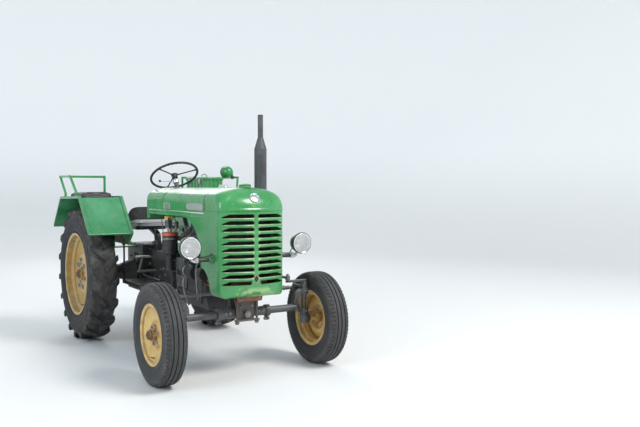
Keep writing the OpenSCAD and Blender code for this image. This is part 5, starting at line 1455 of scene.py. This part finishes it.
finished(joined([nipple(at(side * 0.545, -0.033, z), FRONT) for side in (-1, 1) for z in (0.43, 0.592)]
    + [nipple(at(0, -0.0605, 0.56), FRONT)]), "grease_nipples", alloy, 35)
for word, side in SIDES.items():
    body = f"knuckle_{word}"
    bolts(f"rod_pin_nuts_{word}", [(at(side * 0.545, 0.15, 0.629), UP),
        (at(side * 0.545, 0.15, 0.5785), DOWN)], 0.023, body=body)
    bolts(f"arm_clamp_bolt_{word}", [(at(side * 0.5715, 0.004, 0.642), (side, 0, 0))], 0.013, body=body)
lathe("kingpin_nut_right", [(0, 0), (23.5, 0), (24.5, 3), (20, 8), (14.5, 9.5), (14.5, 21), (11.5, 23.5),
    (0, 24)], at(-0.545, 0, 0.6535), UP, steel, steps=6, degrees=20, body="knuckle_right")
bolts("drag_pin_nut", [(at(0.395, 0, 0.7205), UP)], 0.022, body="knuckle_left")
bolts("tie_rod_lock_nuts", [(at(side * 0.4455, 0.15, 0.5997), (-side, 0, 0)) for side in (-1, 1)], 0.03,
    body="tie_rod")
bolts("drop_arm_nut", [(at(0.3735, 1.01, 0.925), LEFT)], 0.034, body="drop_arm")
bolts("steering_box_bolts", grid(LEFT, (0.2302,), (0.96, 1.06), (0.905, 0.99))
    + grid(UP, (-0.04, 0.2), (0.96, 1.06), (1.0102,)), 0.016)
lathe("steering_box_cover", [(0, 0), (58, 0), (61, 3), (58, 9), (30, 12), (12, 12), (12, 18),
    (0, 19)], at(-0.0602, 1.01, 0.95), RIGHT, iron_grey, steps=40)
bolts("steering_box_cover_bolts", ring(at(-0.069, 1.01, 0.95), RIGHT, 0.05, 5, 0.3), 0.012)
print("axle and steering joints have their nuts")

# %% [markdown]
# ## Gearbox and rear axle
# The covers are bolted on in rings. Each trumpet has a flange with a full ring of bolts where it
# meets the housing and where the brake drum's plate sits.

# %% Rings of bolts along the drive train
for word, side in reversed(SIDES.items()):
    out = (side, 0, 0)
    bolts(f"gear_cover_bolts_{word}", ring(at(side * 0.1522, 1.275, 0.62), out, 0.069, 6, 0.2)
        + ring(at(side * 0.1522, 1.535, 0.59), out, 0.049, 5, 0.4), 0.0155)
    bolts(f"axle_drum_bolts_{word}", ring(at(side * 0.1995, wheelbase, rear_wheel.z), out, 0.155, 10, 0.1),
        0.02)
    bolts(f"trumpet_bolts_{word}", ring(at(side * 0.4705, wheelbase, rear_wheel.z), (-side, 0, 0), 0.1, 8,
        0.3), 0.018)
bolts("gear_lid_bolts", grid(UP, (-0.124, 0.124), every(1.14, 0.106, 6), (0.8302,)), 0.015)
bolts("axle_lid_bolts", grid(UP, (-0.165, 0.165), every(1.73, 0.12, 4), (0.8702,)), 0.017)
bolts("axle_rear_bolts", grid(BACK, (-0.16, 0.16), (2.1302,), (0.47, 0.6, 0.73, 0.84)), 0.018)
plugs = [turned([(0, 0), (21, 0), (21, 5), (13, 6), (13, 16), (0, 17)], 6, place, out)
    for place, out in ((at(-0.1402, 1.62, 0.7), RIGHT), (at(0, 1.9, 0.4298), DOWN),
    (at(0, 1.3, 0.4398), DOWN), (at(0, 0.64, 0.4398), DOWN))]
finished(joined(plugs), "oil_plugs", steel, 20)
gate = block(at(0.0, 1.44, 0.8355), (0.15, 0.12, 0.011), 0.005, 3)
finished(gate, "gear_gate", iron_grey, 35)
bolts("hitch_bolts", grid(BACK, (-0.048, 0.048), (2.1702,), (0.562, 0.678)), 0.021)
print("gearbox and rear axle: rings of bolts and plugs")

# %% [markdown]
# ### Splined take-off shaft
# The shaft that drives implements has six keys round it. The shaft's skin is drawn as a ring of
# points, high on a key and low between two, and lofted with a chamfer at its end.

# %% Take-off shaft
KEYS, SHAFT_Z = 6, 0.78


def splined(y, scale=1.0):
    points = []
    for i in range(KEYS):
        for a, r in ((-15, 0.0142), (-13, 0.01735), (0, 0.0174), (13, 0.01735), (15, 0.0142), (30, 0.014)):
            t = math.radians(360 // KEYS * i + a)
            points.append(at(math.cos(t) * r * scale, y, SHAFT_Z + math.sin(t) * r * scale))
    return points


shaft = skin([splined(2.146), splined(2.236), splined(2.2398, 0.88)])
finished(shaft, "take_off_splines", steel, 25, "bright_steel")
lathe("take_off_seal", [(18.5, 0), (50, 0), (52, 3), (50, 10), (30, 13), (18.5, 10), (18.5, 0)],
    at(0, 2.1455, SHAFT_Z), BACK, iron_grey, steps=36)
bolts("take_off_bolts", ring(at(0, 2.156, SHAFT_Z), BACK, 0.042, 4, 0.785), 0.011)

# %% [markdown]
# ## Pressed louvres
# Each slat between two openings is pressed outwards like an eyelid, so its upper half mirrors the
# sky and its lower half lies in shade. A strip with that bulging section follows the bow of the
# nose and tapers to nothing at its outer end.

# %% Slats with a bulge
LOUVRE_LOW, LOUVRE_PITCH, SLOT = 0.7, 0.049, 0.027
SLAT_STEPS = 22
SLAT_FORM = [(0.0, -0.003), (0.02, 0.0016), (0.1, 0.003), (0.22, 0.0046), (0.4, 0.0056), (0.58, 0.0052),
    (0.76, 0.0036), (0.92, 0.0014), (1.0, -0.0008), (1.0, -0.003)]


def on_face(x, z, out):
    return at(x, nose_front + bow_r - math.sqrt((bow_r + out) ** 2 - x ** 2), z)


def slat(side, low_z, high_z, start, end):
    rings = []
    for i in range(SLAT_STEPS + 1):
        s = i / SLAT_STEPS
        x = start + (end - start) * s
        swell = min(1.0, s / 0.05) * min(1.0, (1 - s) / 0.22) ** 0.7 if 0 < s < 1 else 0.0
        rise = (high_z - low_z) * (1 - 0.1 * max(0.0, (s - 0.75) / 0.25))
        rings.append([on_face(side * x, high_z - 0.0003 - rise * h, out * swell if out > 0 else out)
            for h, out in SLAT_FORM])
    return skin(rings)


slats = []
for side in (-1, 1):
    for i in range(10):
        low_z = LOUVRE_LOW + LOUVRE_PITCH * i + SLOT
        slats.append(slat(side, low_z + 0.0006, LOUVRE_LOW + LOUVRE_PITCH * (i + 1) - 0.0004, 0.017, 0.234))
pressed = joined(slats)
closed_up(pressed, 1e-6)
finished(pressed, "nose_pressed_slats", green_slat, 40)
print("louvres:", len(slats), "pressed slats,", len(pressed.data.polygons), "faces")

# %% Crank hole collar, seals beside the radiator, and black plates standing in for shade
CRANK_Z = 0.742
CRANK_HALF = 0.0275


def diamonds(*levels):
    middle = on_face(0, CRANK_Z, 0)
    return [[middle + Vector((x * k * CRANK_HALF, -out, z * k * CRANK_HALF))
        for x, z in ((1, 0), (0, 1), (-1, 0), (0, -1))] for k, out in levels]


collar = diamonds((1.0, -0.003), (1.0, 0.0016), (1.12, 0.0022), (1.24, 0.0016), (1.24, -0.003))
finished(skin(collar, True), "crank_hole_collar", green_slat)
# The black dished plate in the crank hole stands in for the shade inside the hole: painted shade.
cover = diamonds((0.3, -0.003), (1.02, -0.003), (1.02, -0.0016), (0.8, -0.0012), (0.3, -0.0022))
finished(skin(cover), "crank_hole_shade_plate", hose, slot="black_paint")
for word, side in SIDES.items():
    seal = block(at(side * 0.2395, 0.034, 0.96), (0.046, 0.006, 0.6), 0.002)
    finished(seal, f"radiator_seal_{word}", hose)
# The black strip behind the lowest louvres closes the view to the floor and stands in for the shade there:
# painted shade.
shade_sheet = block(at(0, -0.004, 0.69), (0.531, 0.005, 0.085), 0.002, 2)
finished(shade_sheet, "radiator_shade_sheet", hose)

# %% [markdown]
# ## Driver's place
# ### Steering wheel
# The wheel is a thin hard-rubber rim with finger grips on its back, three round spokes and a hub
# cap. It is built flat, about its own axis, and then leaned back as the column leans.

# %% Steering wheel
WHEEL_HUB = at(0, 1.367, 1.52)
LEAN = math.radians(32)
leaned = Matrix.Translation(WHEEL_HUB) @ Matrix.Rotation(-LEAN, 4, "X")
nothing_selected()
bpy.ops.mesh.primitive_torus_add(major_segments=108, minor_segments=14, major_radius=0.211,
    minor_radius=0.0108)
rim = bpy.context.object
mesh = edit(rim)
pick(mesh, rim, mesh.faces, lambda f: f.calc_center_median().z < -0.002
    and sector(*f.calc_center_median().xy, 108) % 3 == 0)
bpy.ops.mesh.inset(thickness=0.0012, depth=-0.0022)
leave_edit()
spokes = []
for k in range(3):
    a = math.radians(90 + 120 * k)
    out = Vector((math.cos(a), math.sin(a), 0))
    spokes.append(turned([(0, 16), (7.8, 16), (7.2, 30), (5.8, 60), (5.6, 176), (8.5, 200), (9, 209),
        (0, 209)], 20, ORIGIN, out))
hub = turned([(0, -30), (24, -30), (26.2, -26), (26.2, 4), (30, 6), (30, 10), (27, 12.5), (18, 15), (8, 16),
    (0, 16.2)], 40)
rim.data.transform(leaned)
wheel_parts = joined(spokes + [hub])
wheel_parts.data.transform(leaned)
finished(rim, "steering_wheel_rim", grip, 40, body="steering_wheel")
finished(wheel_parts, "steering_wheel_spokes", black, 35, "grip", "steering_wheel")
shaft = turned([(0, -194), (9, -194), (9, -20), (0, -20)], 24)
shaft.data.transform(leaned)
finished(shaft, "steering_shaft", alloy, body="steering_wheel")
for piece in (rim, wheel_parts, shaft):
    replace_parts(piece, "steering_wheel")
undress("steering_wheel")
collar = turned([(19.5, -52), (25, -52), (26.2, -50), (26.2, -80), (24, -84), (19.5, -84), (19.5, -52)], 36)
collar.data.transform(leaned)
finished(collar, "column_collar", alloy)
pipe("hand_throttle", [leaned @ Vector(p) for p in ((-0.02, 0.004, -0.066), (-0.06, 0.01, -0.06),
    (-0.12, 0.016, -0.052), (-0.135, 0.017, -0.05))], 0.0042, alloy, 4)
ball = turned([(0, -11), (5, -10), (9, -6.5), (11, 0), (9, 6.5), (5, 10), (0, 11)], 24)
ball.data.transform(leaned @ Matrix.Translation((-0.142, 0.0175, -0.0495)))
finished(ball, "hand_throttle_ball", grip, 40)

# %% [markdown]
# ### Instruments
# Two dials look at the driver. Each has a pale face with plain tick marks and a needle under a
# bezel. Between them are a starter switch, a pull knob and a charge light.

# %% Dials and switches
for word, side in SIDES.items():
    centre = at(side * 0.13, 1.3602, 1.28)
    lathe(f"dial_bezel_{word}", [(34.5, -4), (42.5, -4), (43.2, 0), (42, 4.5), (38, 6), (35, 4.5),
        (34.5, -4)], centre, BACK, chrome, steps=56)
    lathe(f"dial_face_{word}", [(0, 0), (35, 0), (35, 1), (0, 1)], centre - Vector((0, 0.0045, 0)), BACK,
        dial_white, steps=48)
    marks = []
    for k in range(11):
        a = math.radians(-35 + 25 * k)
        mark = block(ORIGIN, (1, 1, 1))
        long = 0.007 if k % 5 == 0 else 0.0042
        mark.data.transform(Matrix.Translation(centre - Vector((0, 0.0032, 0))) @ Matrix.Rotation(-a, 4, "Y")
            @ Matrix.Translation((0.0315 - long / 2, 0, 0)) @ Matrix.Diagonal((long, 0.0008, 0.0012, 1)))
        marks.append(mark)
    pointer = turned([(0, 0), (3.5, 0), (3.5, 2), (0.6, 3), (0, 3)], 16, centre - Vector((0, 0.0035, 0)),
        BACK)
    finished(joined(marks + [pointer]), f"dial_marks_{word}", black)
    pipe(f"dial_needle_{word}", [centre + Vector((-0.006 * side, -0.0018, -0.003)), centre
        + Vector((0.021 * side, -0.0018, 0.015))], 0.0007, black, 1, 2)
switches = [turned([(0, 0), (17, 0), (17, 5), (12, 8), (12, 16), (9, 19), (0, 20)], 28,
    at(0.0, 1.3502, 1.345), BACK), turned([(0, 0), (8, 0), (4, 4), (4, 16), (9, 19), (10, 26), (6, 30),
    (0, 30)], 24, at(0.055, 1.3502, 1.35), BACK)]
finished(joined(switches), "dash_switches", grip, 35)
lathe("dash_charge_light", [(0, 0), (8.5, 0), (8.5, 3), (6, 6), (0, 7)], at(-0.055, 1.3502, 1.35), BACK,
    red_lid, steps=24, degrees=35)
bolts("dash_screws", grid(BACK, (-0.236, 0.236), (1.3502,), (1.165, 1.26)), 0.01, alloy)
print("steering wheel, dials and switches")

# %% [markdown]
# ### Levers, pedals and footplates
# The gear lever ends in a black ball and the hand lever in a long grip. Rubber boots close the
# holes that they come out of. The pedals have ribs so that a wet boot does not slip, and the
# footplates have studs for the same reason.

# %% Levers and pedals
lathe("gear_knob", [(0, -24), (10.5, -23), (12.5, -18), (19, -9), (20.8, 1), (18.5, 11), (12, 18), (0, 20.5)],
    at(0.04, 1.42, 1.08), UP, grip, steps=36, degrees=50)
axis = (at(-0.12, 1.54, 1.02) - at(-0.1, 1.55, 0.84)).normalized()
lathe("hand_lever_grip", [(0, 2), (12.5, 2), (14.2, -4), (13.8, -30), (14.6, -55), (13.8, -80), (14, -94),
    (0, -94)], at(-0.12, 1.54, 1.02), axis, grip, steps=28, degrees=40)
COIL_R = 0.006
boots = [turned([(0, -2), (r, -2), (r, 8), (r * 0.82, 12), (r * 0.86, 17), (r * 0.66, 22), (r * 0.7, 27),
    (r * 0.48, 34), (r * 0.46, 42), (0, 44)], 36, at(x, y, 0.8305))
    for x, y, r in ((0, 1.45, 38), (-0.1, 1.55, 32))]
finished(joined(boots), "lever_boots", hose, 40)
for word, side in SIDES.items():
    pad = [block(at(side * 0.3, 1.37 + 0.0078 * k, 0.7985), (0.118, 0.0036, 0.006)) for k in range(-3, 4)]
    ribs = with_modifier(joined(pad), "BEVEL", width=0.0012, segments=2)
    finished(ribs, f"pedal_ribs_{word}", alloy, 40)
    pipe(f"pedal_return_spring_{word}", [at(side * (0.268 + COIL_R * math.cos(math.tau * q / 8)), 1.48
        + 0.00135 * q, 0.655 + COIL_R * math.sin(math.tau * q / 8)) for q in range(57)], 0.0014, steel, 1, 2)
    pipe(f"pedal_rod_{word}", route((262, 1470, 625), (250, 1400, 610), (215, 1180, 600), side=side), 0.0055,
        steel, soft=4)
    studs = []
    for i, j in [(i, j) for i in range(6) for j in range(13) if (i + j) % 2 == 0]:
        middle = at(side * (0.185 + 0.039 * i), 1.205 + 0.033 * j, 0.5672)
        nothing_selected()
        bpy.ops.mesh.primitive_cylinder_add(vertices=8, radius=0.0075, depth=0.003, location=middle,
            rotation=(0, 0, math.radians(22.5)))
        stud = settled(bpy.context.object)
        mesh = edit(stud)
        pick(mesh, stud, mesh.faces, lambda f: f.normal.z > 0.9)
        bpy.ops.transform.resize(value=(0.7, 0.7, 1), center_override=middle)
        studs.append(stud)
    finished(joined(studs), f"footplate_studs_{word}", steel)
print("levers, pedals and tread studs")

# %% [markdown]
# ### Seat and cushions
# A cushion is a skin blown up by its filling. A rounded slab, a little smaller than the seat, is
# remeshed fine, and the cloth solver inflates it with the bottom pinned. How far any point moves
# is capped, so it stays a seat. Piping and buttons are added afterwards.

# %% Inflated pads
def slab(low, high, corner, edge):
    obj = block((low + high) / 2, high - low)
    mesh = edit(obj, "EDGE")
    pick(mesh, obj, mesh.edges, lambda e: abs(e.verts[0].co.z - e.verts[1].co.z) > (high - low).z * 0.5)
    bpy.ops.mesh.bevel(offset=corner, segments=7)
    mesh = bmesh.from_edit_mesh(obj.data)
    bpy.ops.mesh.select_mode(type="EDGE")
    pick(mesh, obj, mesh.edges, lambda e: all(v.co.z > high.z - 0.0001 for v in e.verts)
        and len(e.link_faces) == 2 and any(abs(f.normal.z) < 0.5 for f in e.link_faces))
    bpy.ops.mesh.bevel(offset=edge, segments=4)
    leave_edit()
    return obj


FRAMES, VOXEL, PINNED, STIFFNESS, QUALITY = 18, 0.0062, 0.006, 12, 5


def inflated(obj, base_z, pressure, cap):
    with_modifier(obj, "REMESH", mode="VOXEL", voxel_size=VOXEL)
    start = [v.co.copy() for v in obj.data.vertices]
    held = obj.vertex_groups.new(name="held")
    held.add([v.index for v in obj.data.vertices if v.co.z < base_z + PINNED], 1.0, "REPLACE")
    only(obj)
    cloth = obj.modifiers.new("cloth", "CLOTH")
    cloth.settings.vertex_group_mass = "held"
    cloth.settings.use_pressure = True
    cloth.settings.uniform_pressure_force = pressure
    cloth.settings.effector_weights.gravity = 0
    cloth.settings.tension_stiffness = cloth.settings.compression_stiffness = STIFFNESS
    cloth.settings.quality = QUALITY
    cloth.point_cache.frame_end = FRAMES
    for frame_number in range(1, FRAMES + 1):
        bpy.context.scene.frame_set(frame_number)
    only(obj)
    bpy.ops.object.modifier_apply(modifier=cloth.name)
    bpy.context.scene.frame_set(1)
    for v, was in zip(obj.data.vertices, start):
        move = v.co - was
        if move.length > cap:
            v.co = was + move * (cap / move.length)
    obj.vertex_groups.clear()


def rounded_ring(half_w, half_d, corner, middle, z):
    points = []
    for cx, cy, start in ((1, 1, 0), (-1, 1, 90), (-1, -1, 180), (1, -1, 270)):
        for a in range(start, start + 91, 15):
            t = math.radians(a)
            points.append(middle + Vector((cx * (half_w - corner) + corner * math.cos(t),
                cy * (half_d - corner) + corner * math.sin(t), z)))
    return points


def piping(name, low, high, corner, z, radius, finish):
    middle = Vector(((low.x + high.x) / 2, (low.y + high.y) / 2, 0))
    points = rounded_ring((high.x - low.x) / 2, (high.y - low.y) / 2, corner, middle, z)
    rings = []
    for i, p in enumerate(points):
        along = (points[(i + 1) % len(points)] - points[i - 1]).normalized()
        out = Vector((along.y, -along.x, 0))
        rings.append([p + (out * math.cos(q) + UP * math.sin(q)) * radius
            for q in [math.tau * k / 8 for k in range(8)]])
    finished(skin(rings, True), name, finish, 50)


# %% Pressed pan and wrap-around back
PAN = [(-0.04, 0.0), (-0.008, 0.0005), (-0.002, 0.004), (0.0, 0.01), (0.001, 0.028), (0.004, 0.0315),
    (0.0035, 0.0345), (-0.001, 0.0345), (-0.003, 0.028), (-0.004, 0.012), (-0.01, 0.0055), (-0.04, 0.0048)]
pan = skin([rounded_ring(0.215 + out, 0.175 + out, max(0.012, 0.055 + out), at(0, 1.935, 1.01), z)
    for out, z in PAN])
BACK_HALF = 0.212
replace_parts(finished(pan, "seat_pan", black, 40), "driver_seat")


def back_ring(x):
    low_z, high_z = 1.016, 1.212
    share = abs(x) / BACK_HALF
    forward, drop = 0.075 * share ** 3.2, 0.085 * share ** 5
    tops = high_z - drop
    face = [(2.101 + 0.024 * k / 5, low_z + (tops - low_z) * k / 5) for k in range(6)]
    roll = [(2.125 + 0.002 - 0.005 * math.cos(t), tops + 0.005 * math.sin(t))
        for t in (0.4, 1.2, 2.0, 2.8, 3.6)]
    rear = [(y + 0.0045, z) for y, z in reversed(face)]
    return [at(x, y - forward, z) for y, z in face + roll + rear]


back = skin([back_ring(BACK_HALF * (i / 12 - 1)) for i in range(25)])
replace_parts(finished(back, "seat_back", black, 50), "driver_seat")
edit(dressed["driver_seat"])
bpy.ops.mesh.select_all(action="SELECT")
bpy.ops.mesh.bisect(plane_co=at(0, 0, 1.0099), plane_no=(0, 0, 1), clear_outer=True, use_fill=True)
leave_edit()

# %% Cushion of the seat, and the pad on the fender
low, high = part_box("seat_cushion")
shrink = Vector((0.006, 0.006, 0.0))
seat_pad = slab(low + shrink, high - shrink - Vector((0, 0, 0.01)), 0.036, 0.014)
inflated(seat_pad, low.z, 3.5, 0.013)
finished(seat_pad, "seat_cushion_pad", grey_vinyl, 60)
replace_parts(seat_pad, "seat_cushion")
piping("seat_piping_top", low, high, 0.04, high.z - 0.019, 0.0034, black_vinyl)
piping("seat_piping_low", low, high, 0.04, low.z + 0.01, 0.0034, black_vinyl)
button = turned([(0, -4), (8.5, -4), (9.5, -2), (8, 1.5), (0, 2.8)], 20)
buttons = []
for x in (-0.105, 0, 0.105):
    for dy in (-0.075, 0.075):
        twin = copied(button)
        twin.location = Vector((x, (low.y + high.y) / 2 + dy, high.z + 0.0005))
        buttons.append(settled(twin))
bpy.data.objects.remove(button)
finished(joined(buttons), "seat_buttons", black_vinyl, 40)

low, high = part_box("fender_cushion")
FENDER_FALL = 0.012 / 0.645
pad = slab(low + shrink + Vector((0, 0, 0.008)), high - shrink - Vector((0, 0, 0.01)), 0.026, 0.012)
inflated(pad, low.z + 0.008, 3.0, 0.011)
for v in pad.data.vertices:
    v.co.z -= (v.co.y - low.y) * FENDER_FALL - 0.001
finished(pad, "fender_cushion_pad", black_vinyl, 60)
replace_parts(pad, "fender_cushion")
print("cushions:", len(seat_pad.data.polygons), "and", len(pad.data.polygons), "faces")

# %% [markdown]
# ## Rear lamp, rails and fenders
# The work lamp is the headlight's section at a smaller scale, turned to face the rear, on a bent
# stem that a clamp holds to the rail. The rails stand on flanged feet with three bolts each.

# %% Work lamp on its stem
RAIL_OUT, RAIL_FOOT, RAIL_IN, RAIL_TOP = 0.787, 0.765, 0.425, 1.512
lamp_head("work_lamp", at(0.728, 1.802, 1.565), FRONT, 0.785, "work_lamp", "work_lamp")
stem = pipe("work_lamp_stem", [at(RAIL_OUT, 1.78, 1.516), at(RAIL_OUT, 1.78, 1.546), at(0.783, 1.78, 1.558),
    at(0.764, 1.781, 1.565)], 0.0075, iron, 4)
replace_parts(stem, "work_lamp")
lathe("work_lamp_clamp", [(11.2, -13), (16.5, -13), (16.5, 13), (11.2, 13), (11.2, -13)],
    at(RAIL_OUT, 1.78, RAIL_TOP), BACK, iron)
bolts("work_lamp_bolts", [(at(0.7708, 1.78, RAIL_TOP), RIGHT), (at(0.7655, 1.781, 1.5725), UP)], 0.01)
undress("work_lamp")

# %% Feet of the rails, and bolts along the fenders
INNER_BEAD = 0.014


def fender_at(y):
    return 1.32 - (y - 1.61) * FENDER_FALL


rail_feet = {"left": ((RAIL_FOOT, 1.64), (RAIL_FOOT, 2.19), (RAIL_IN, 2.218)), "right": ((RAIL_FOOT, 1.8),
    (RAIL_FOOT, 2.19), (RAIL_IN, 2.085))}
flange = [(0, -14.2), (26, -14.2), (26, -10.2), (16.5, -8.5), (14, 0), (13.5, 6), (0, 6)]
for word, side in SIDES.items():
    feet, studs = [], []
    for x, y in rail_feet[word]:
        ground = at(side * x, y, fender_at(y) + 0.0142 + (INNER_BEAD if x == RAIL_IN else 0))
        feet.append(turned(flange, 32, ground))
        studs += ring(ground - UP * 0.0102, UP, 0.0205, 3, 0.6)
    finished(joined(feet), f"rail_feet_{word}", green)
    bolts(f"rail_foot_bolts_{word}", studs, 0.0075)
    bolts(f"fender_wall_bolts_{word}", row(at(side * 0.3995, 1.885, 0.925), at(side * 0.3995, 1.975, 0.925),
        3, (-side, 0, 0)), 0.015)
    bolts(f"fender_top_bolts_{word}", [(at(side * x, 1.665, fender_at(1.665)), UP) for x in (0.455, 0.7)],
        0.012)
    for edge, y, z in (("lip", 1.3065, 1.0075), ("hem", 2.5285, 1.0285)):
        pipe(f"fender_{edge}_{word}", [at(side * x, y, z) for x in (0.409, 0.5, 0.6, 0.7, 0.796)], 0.008,
            green_fender, 4)
print("work lamp, six rail feet, fender bolts and lips")

# %% [markdown]
# ### Tool box
# The imported solid has the ribs. A domed lid with a turned-down rim, two hinges, two toggle
# latches and a bar handle dress it as a box with a lid.

# %% Lid, hinges, latches and handle
low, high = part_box("tool_box")
lid = slab(Vector((low.x - 0.002, low.y - 0.002, high.z - 0.016)), Vector((high.x + 0.002, high.y + 0.002,
    high.z + 0.008)), 0.042, 0.009)
finished(lid, "tool_box_lid", green, 40)
middle_y = (low.y + high.y) / 2
hinges = []
for dy in (-0.15, 0.15):
    knuckle = turned([(0, -28), (5.8, -28), (6.2, -10), (5.2, -9.5), (6.2, -9), (6.2, 9), (5.2, 9.5),
        (6.2, 10), (5.8, 28), (0, 28)], 20, Vector((high.x + 0.004, middle_y + dy, high.z - 0.019)), BACK)
    hinges.append(knuckle)
finished(joined(hinges), "tool_box_hinges", steel)
for number, dy in enumerate((-0.13, 0.13), 1):
    place = Vector((low.x, middle_y + dy, high.z - 0.036))
    bar_piece(f"tool_box_latch_{number}", place + Vector((-0.002, -0.013, 0)), place
        + Vector((-0.002, 0.013, 0)), 0.01, 0.044, -1, alloy)
pipe("tool_box_handle", [Vector(((low.x + high.x) / 2, middle_y + dy, high.z + dz))
    for dy, dz in ((-0.062, 0.004), (-0.062, 0.02), (-0.048, 0.03), (0.048, 0.03), (0.062, 0.02),
    (0.062, 0.004))], 0.0045, steel)

# %% [markdown]
# ### Seat fixings and lamp wires
# Two bolts clamp the seat's leaf spring and four hold its back. A rusty plate is bolted under the
# nose. A wire runs from each headlight to a grommet in the nose.

# %% Seat and wires
apron_plate = block(at(0, -0.113, 0.601), (0.236, 0.018, 0.078))
for v in apron_plate.data.vertices:
    if v.co.z < 0.58:
        v.co.x *= 0.86
with_modifier(apron_plate, "BEVEL", width=0.006, segments=3)
finished(apron_plate, "bolster_front_plate", rust_red)
bolts("bolster_plate_bolts", grid(FRONT, (-0.075, 0.075), (-0.1225,), (0.585,)), 0.018)
bolts("seat_spring_bolts", row(at(0, 1.805, 0.8885), at(0, 1.85, 0.8885), 2, UP), 0.02)
bolts("seat_back_bolts", grid(BACK, (-0.14, 0.14), (2.1235,), (1.05, 1.09)), 0.013)
for word, side in SIDES.items():
    pipe(f"headlight_wire_{word}", route((452, 0, 950), (436, 10, 925), (405, -12, 902), (360, -30, 901.5),
        (300, -30, 908), (269.5, -30, 915), side=side), 0.0036, hose, slot="grip")
    lathe(f"headlight_grommet_{word}", [(0, 0), (8.5, 0), (9.5, 2), (9.5, 5), (6, 7), (0, 7)],
        at(side * 0.2698, -0.03, 0.915), (side, 0, 0), hose, steps=20, slot="grip")
print("seat bolts, tool box furniture and headlight wires")

# %% [markdown]
# ## Clearing up
# The patterns that copies were made from are taken away.

# %% Patterns away
for pattern in patterns:
    bpy.data.objects.remove(pattern)
print("pieces added:", len(made))
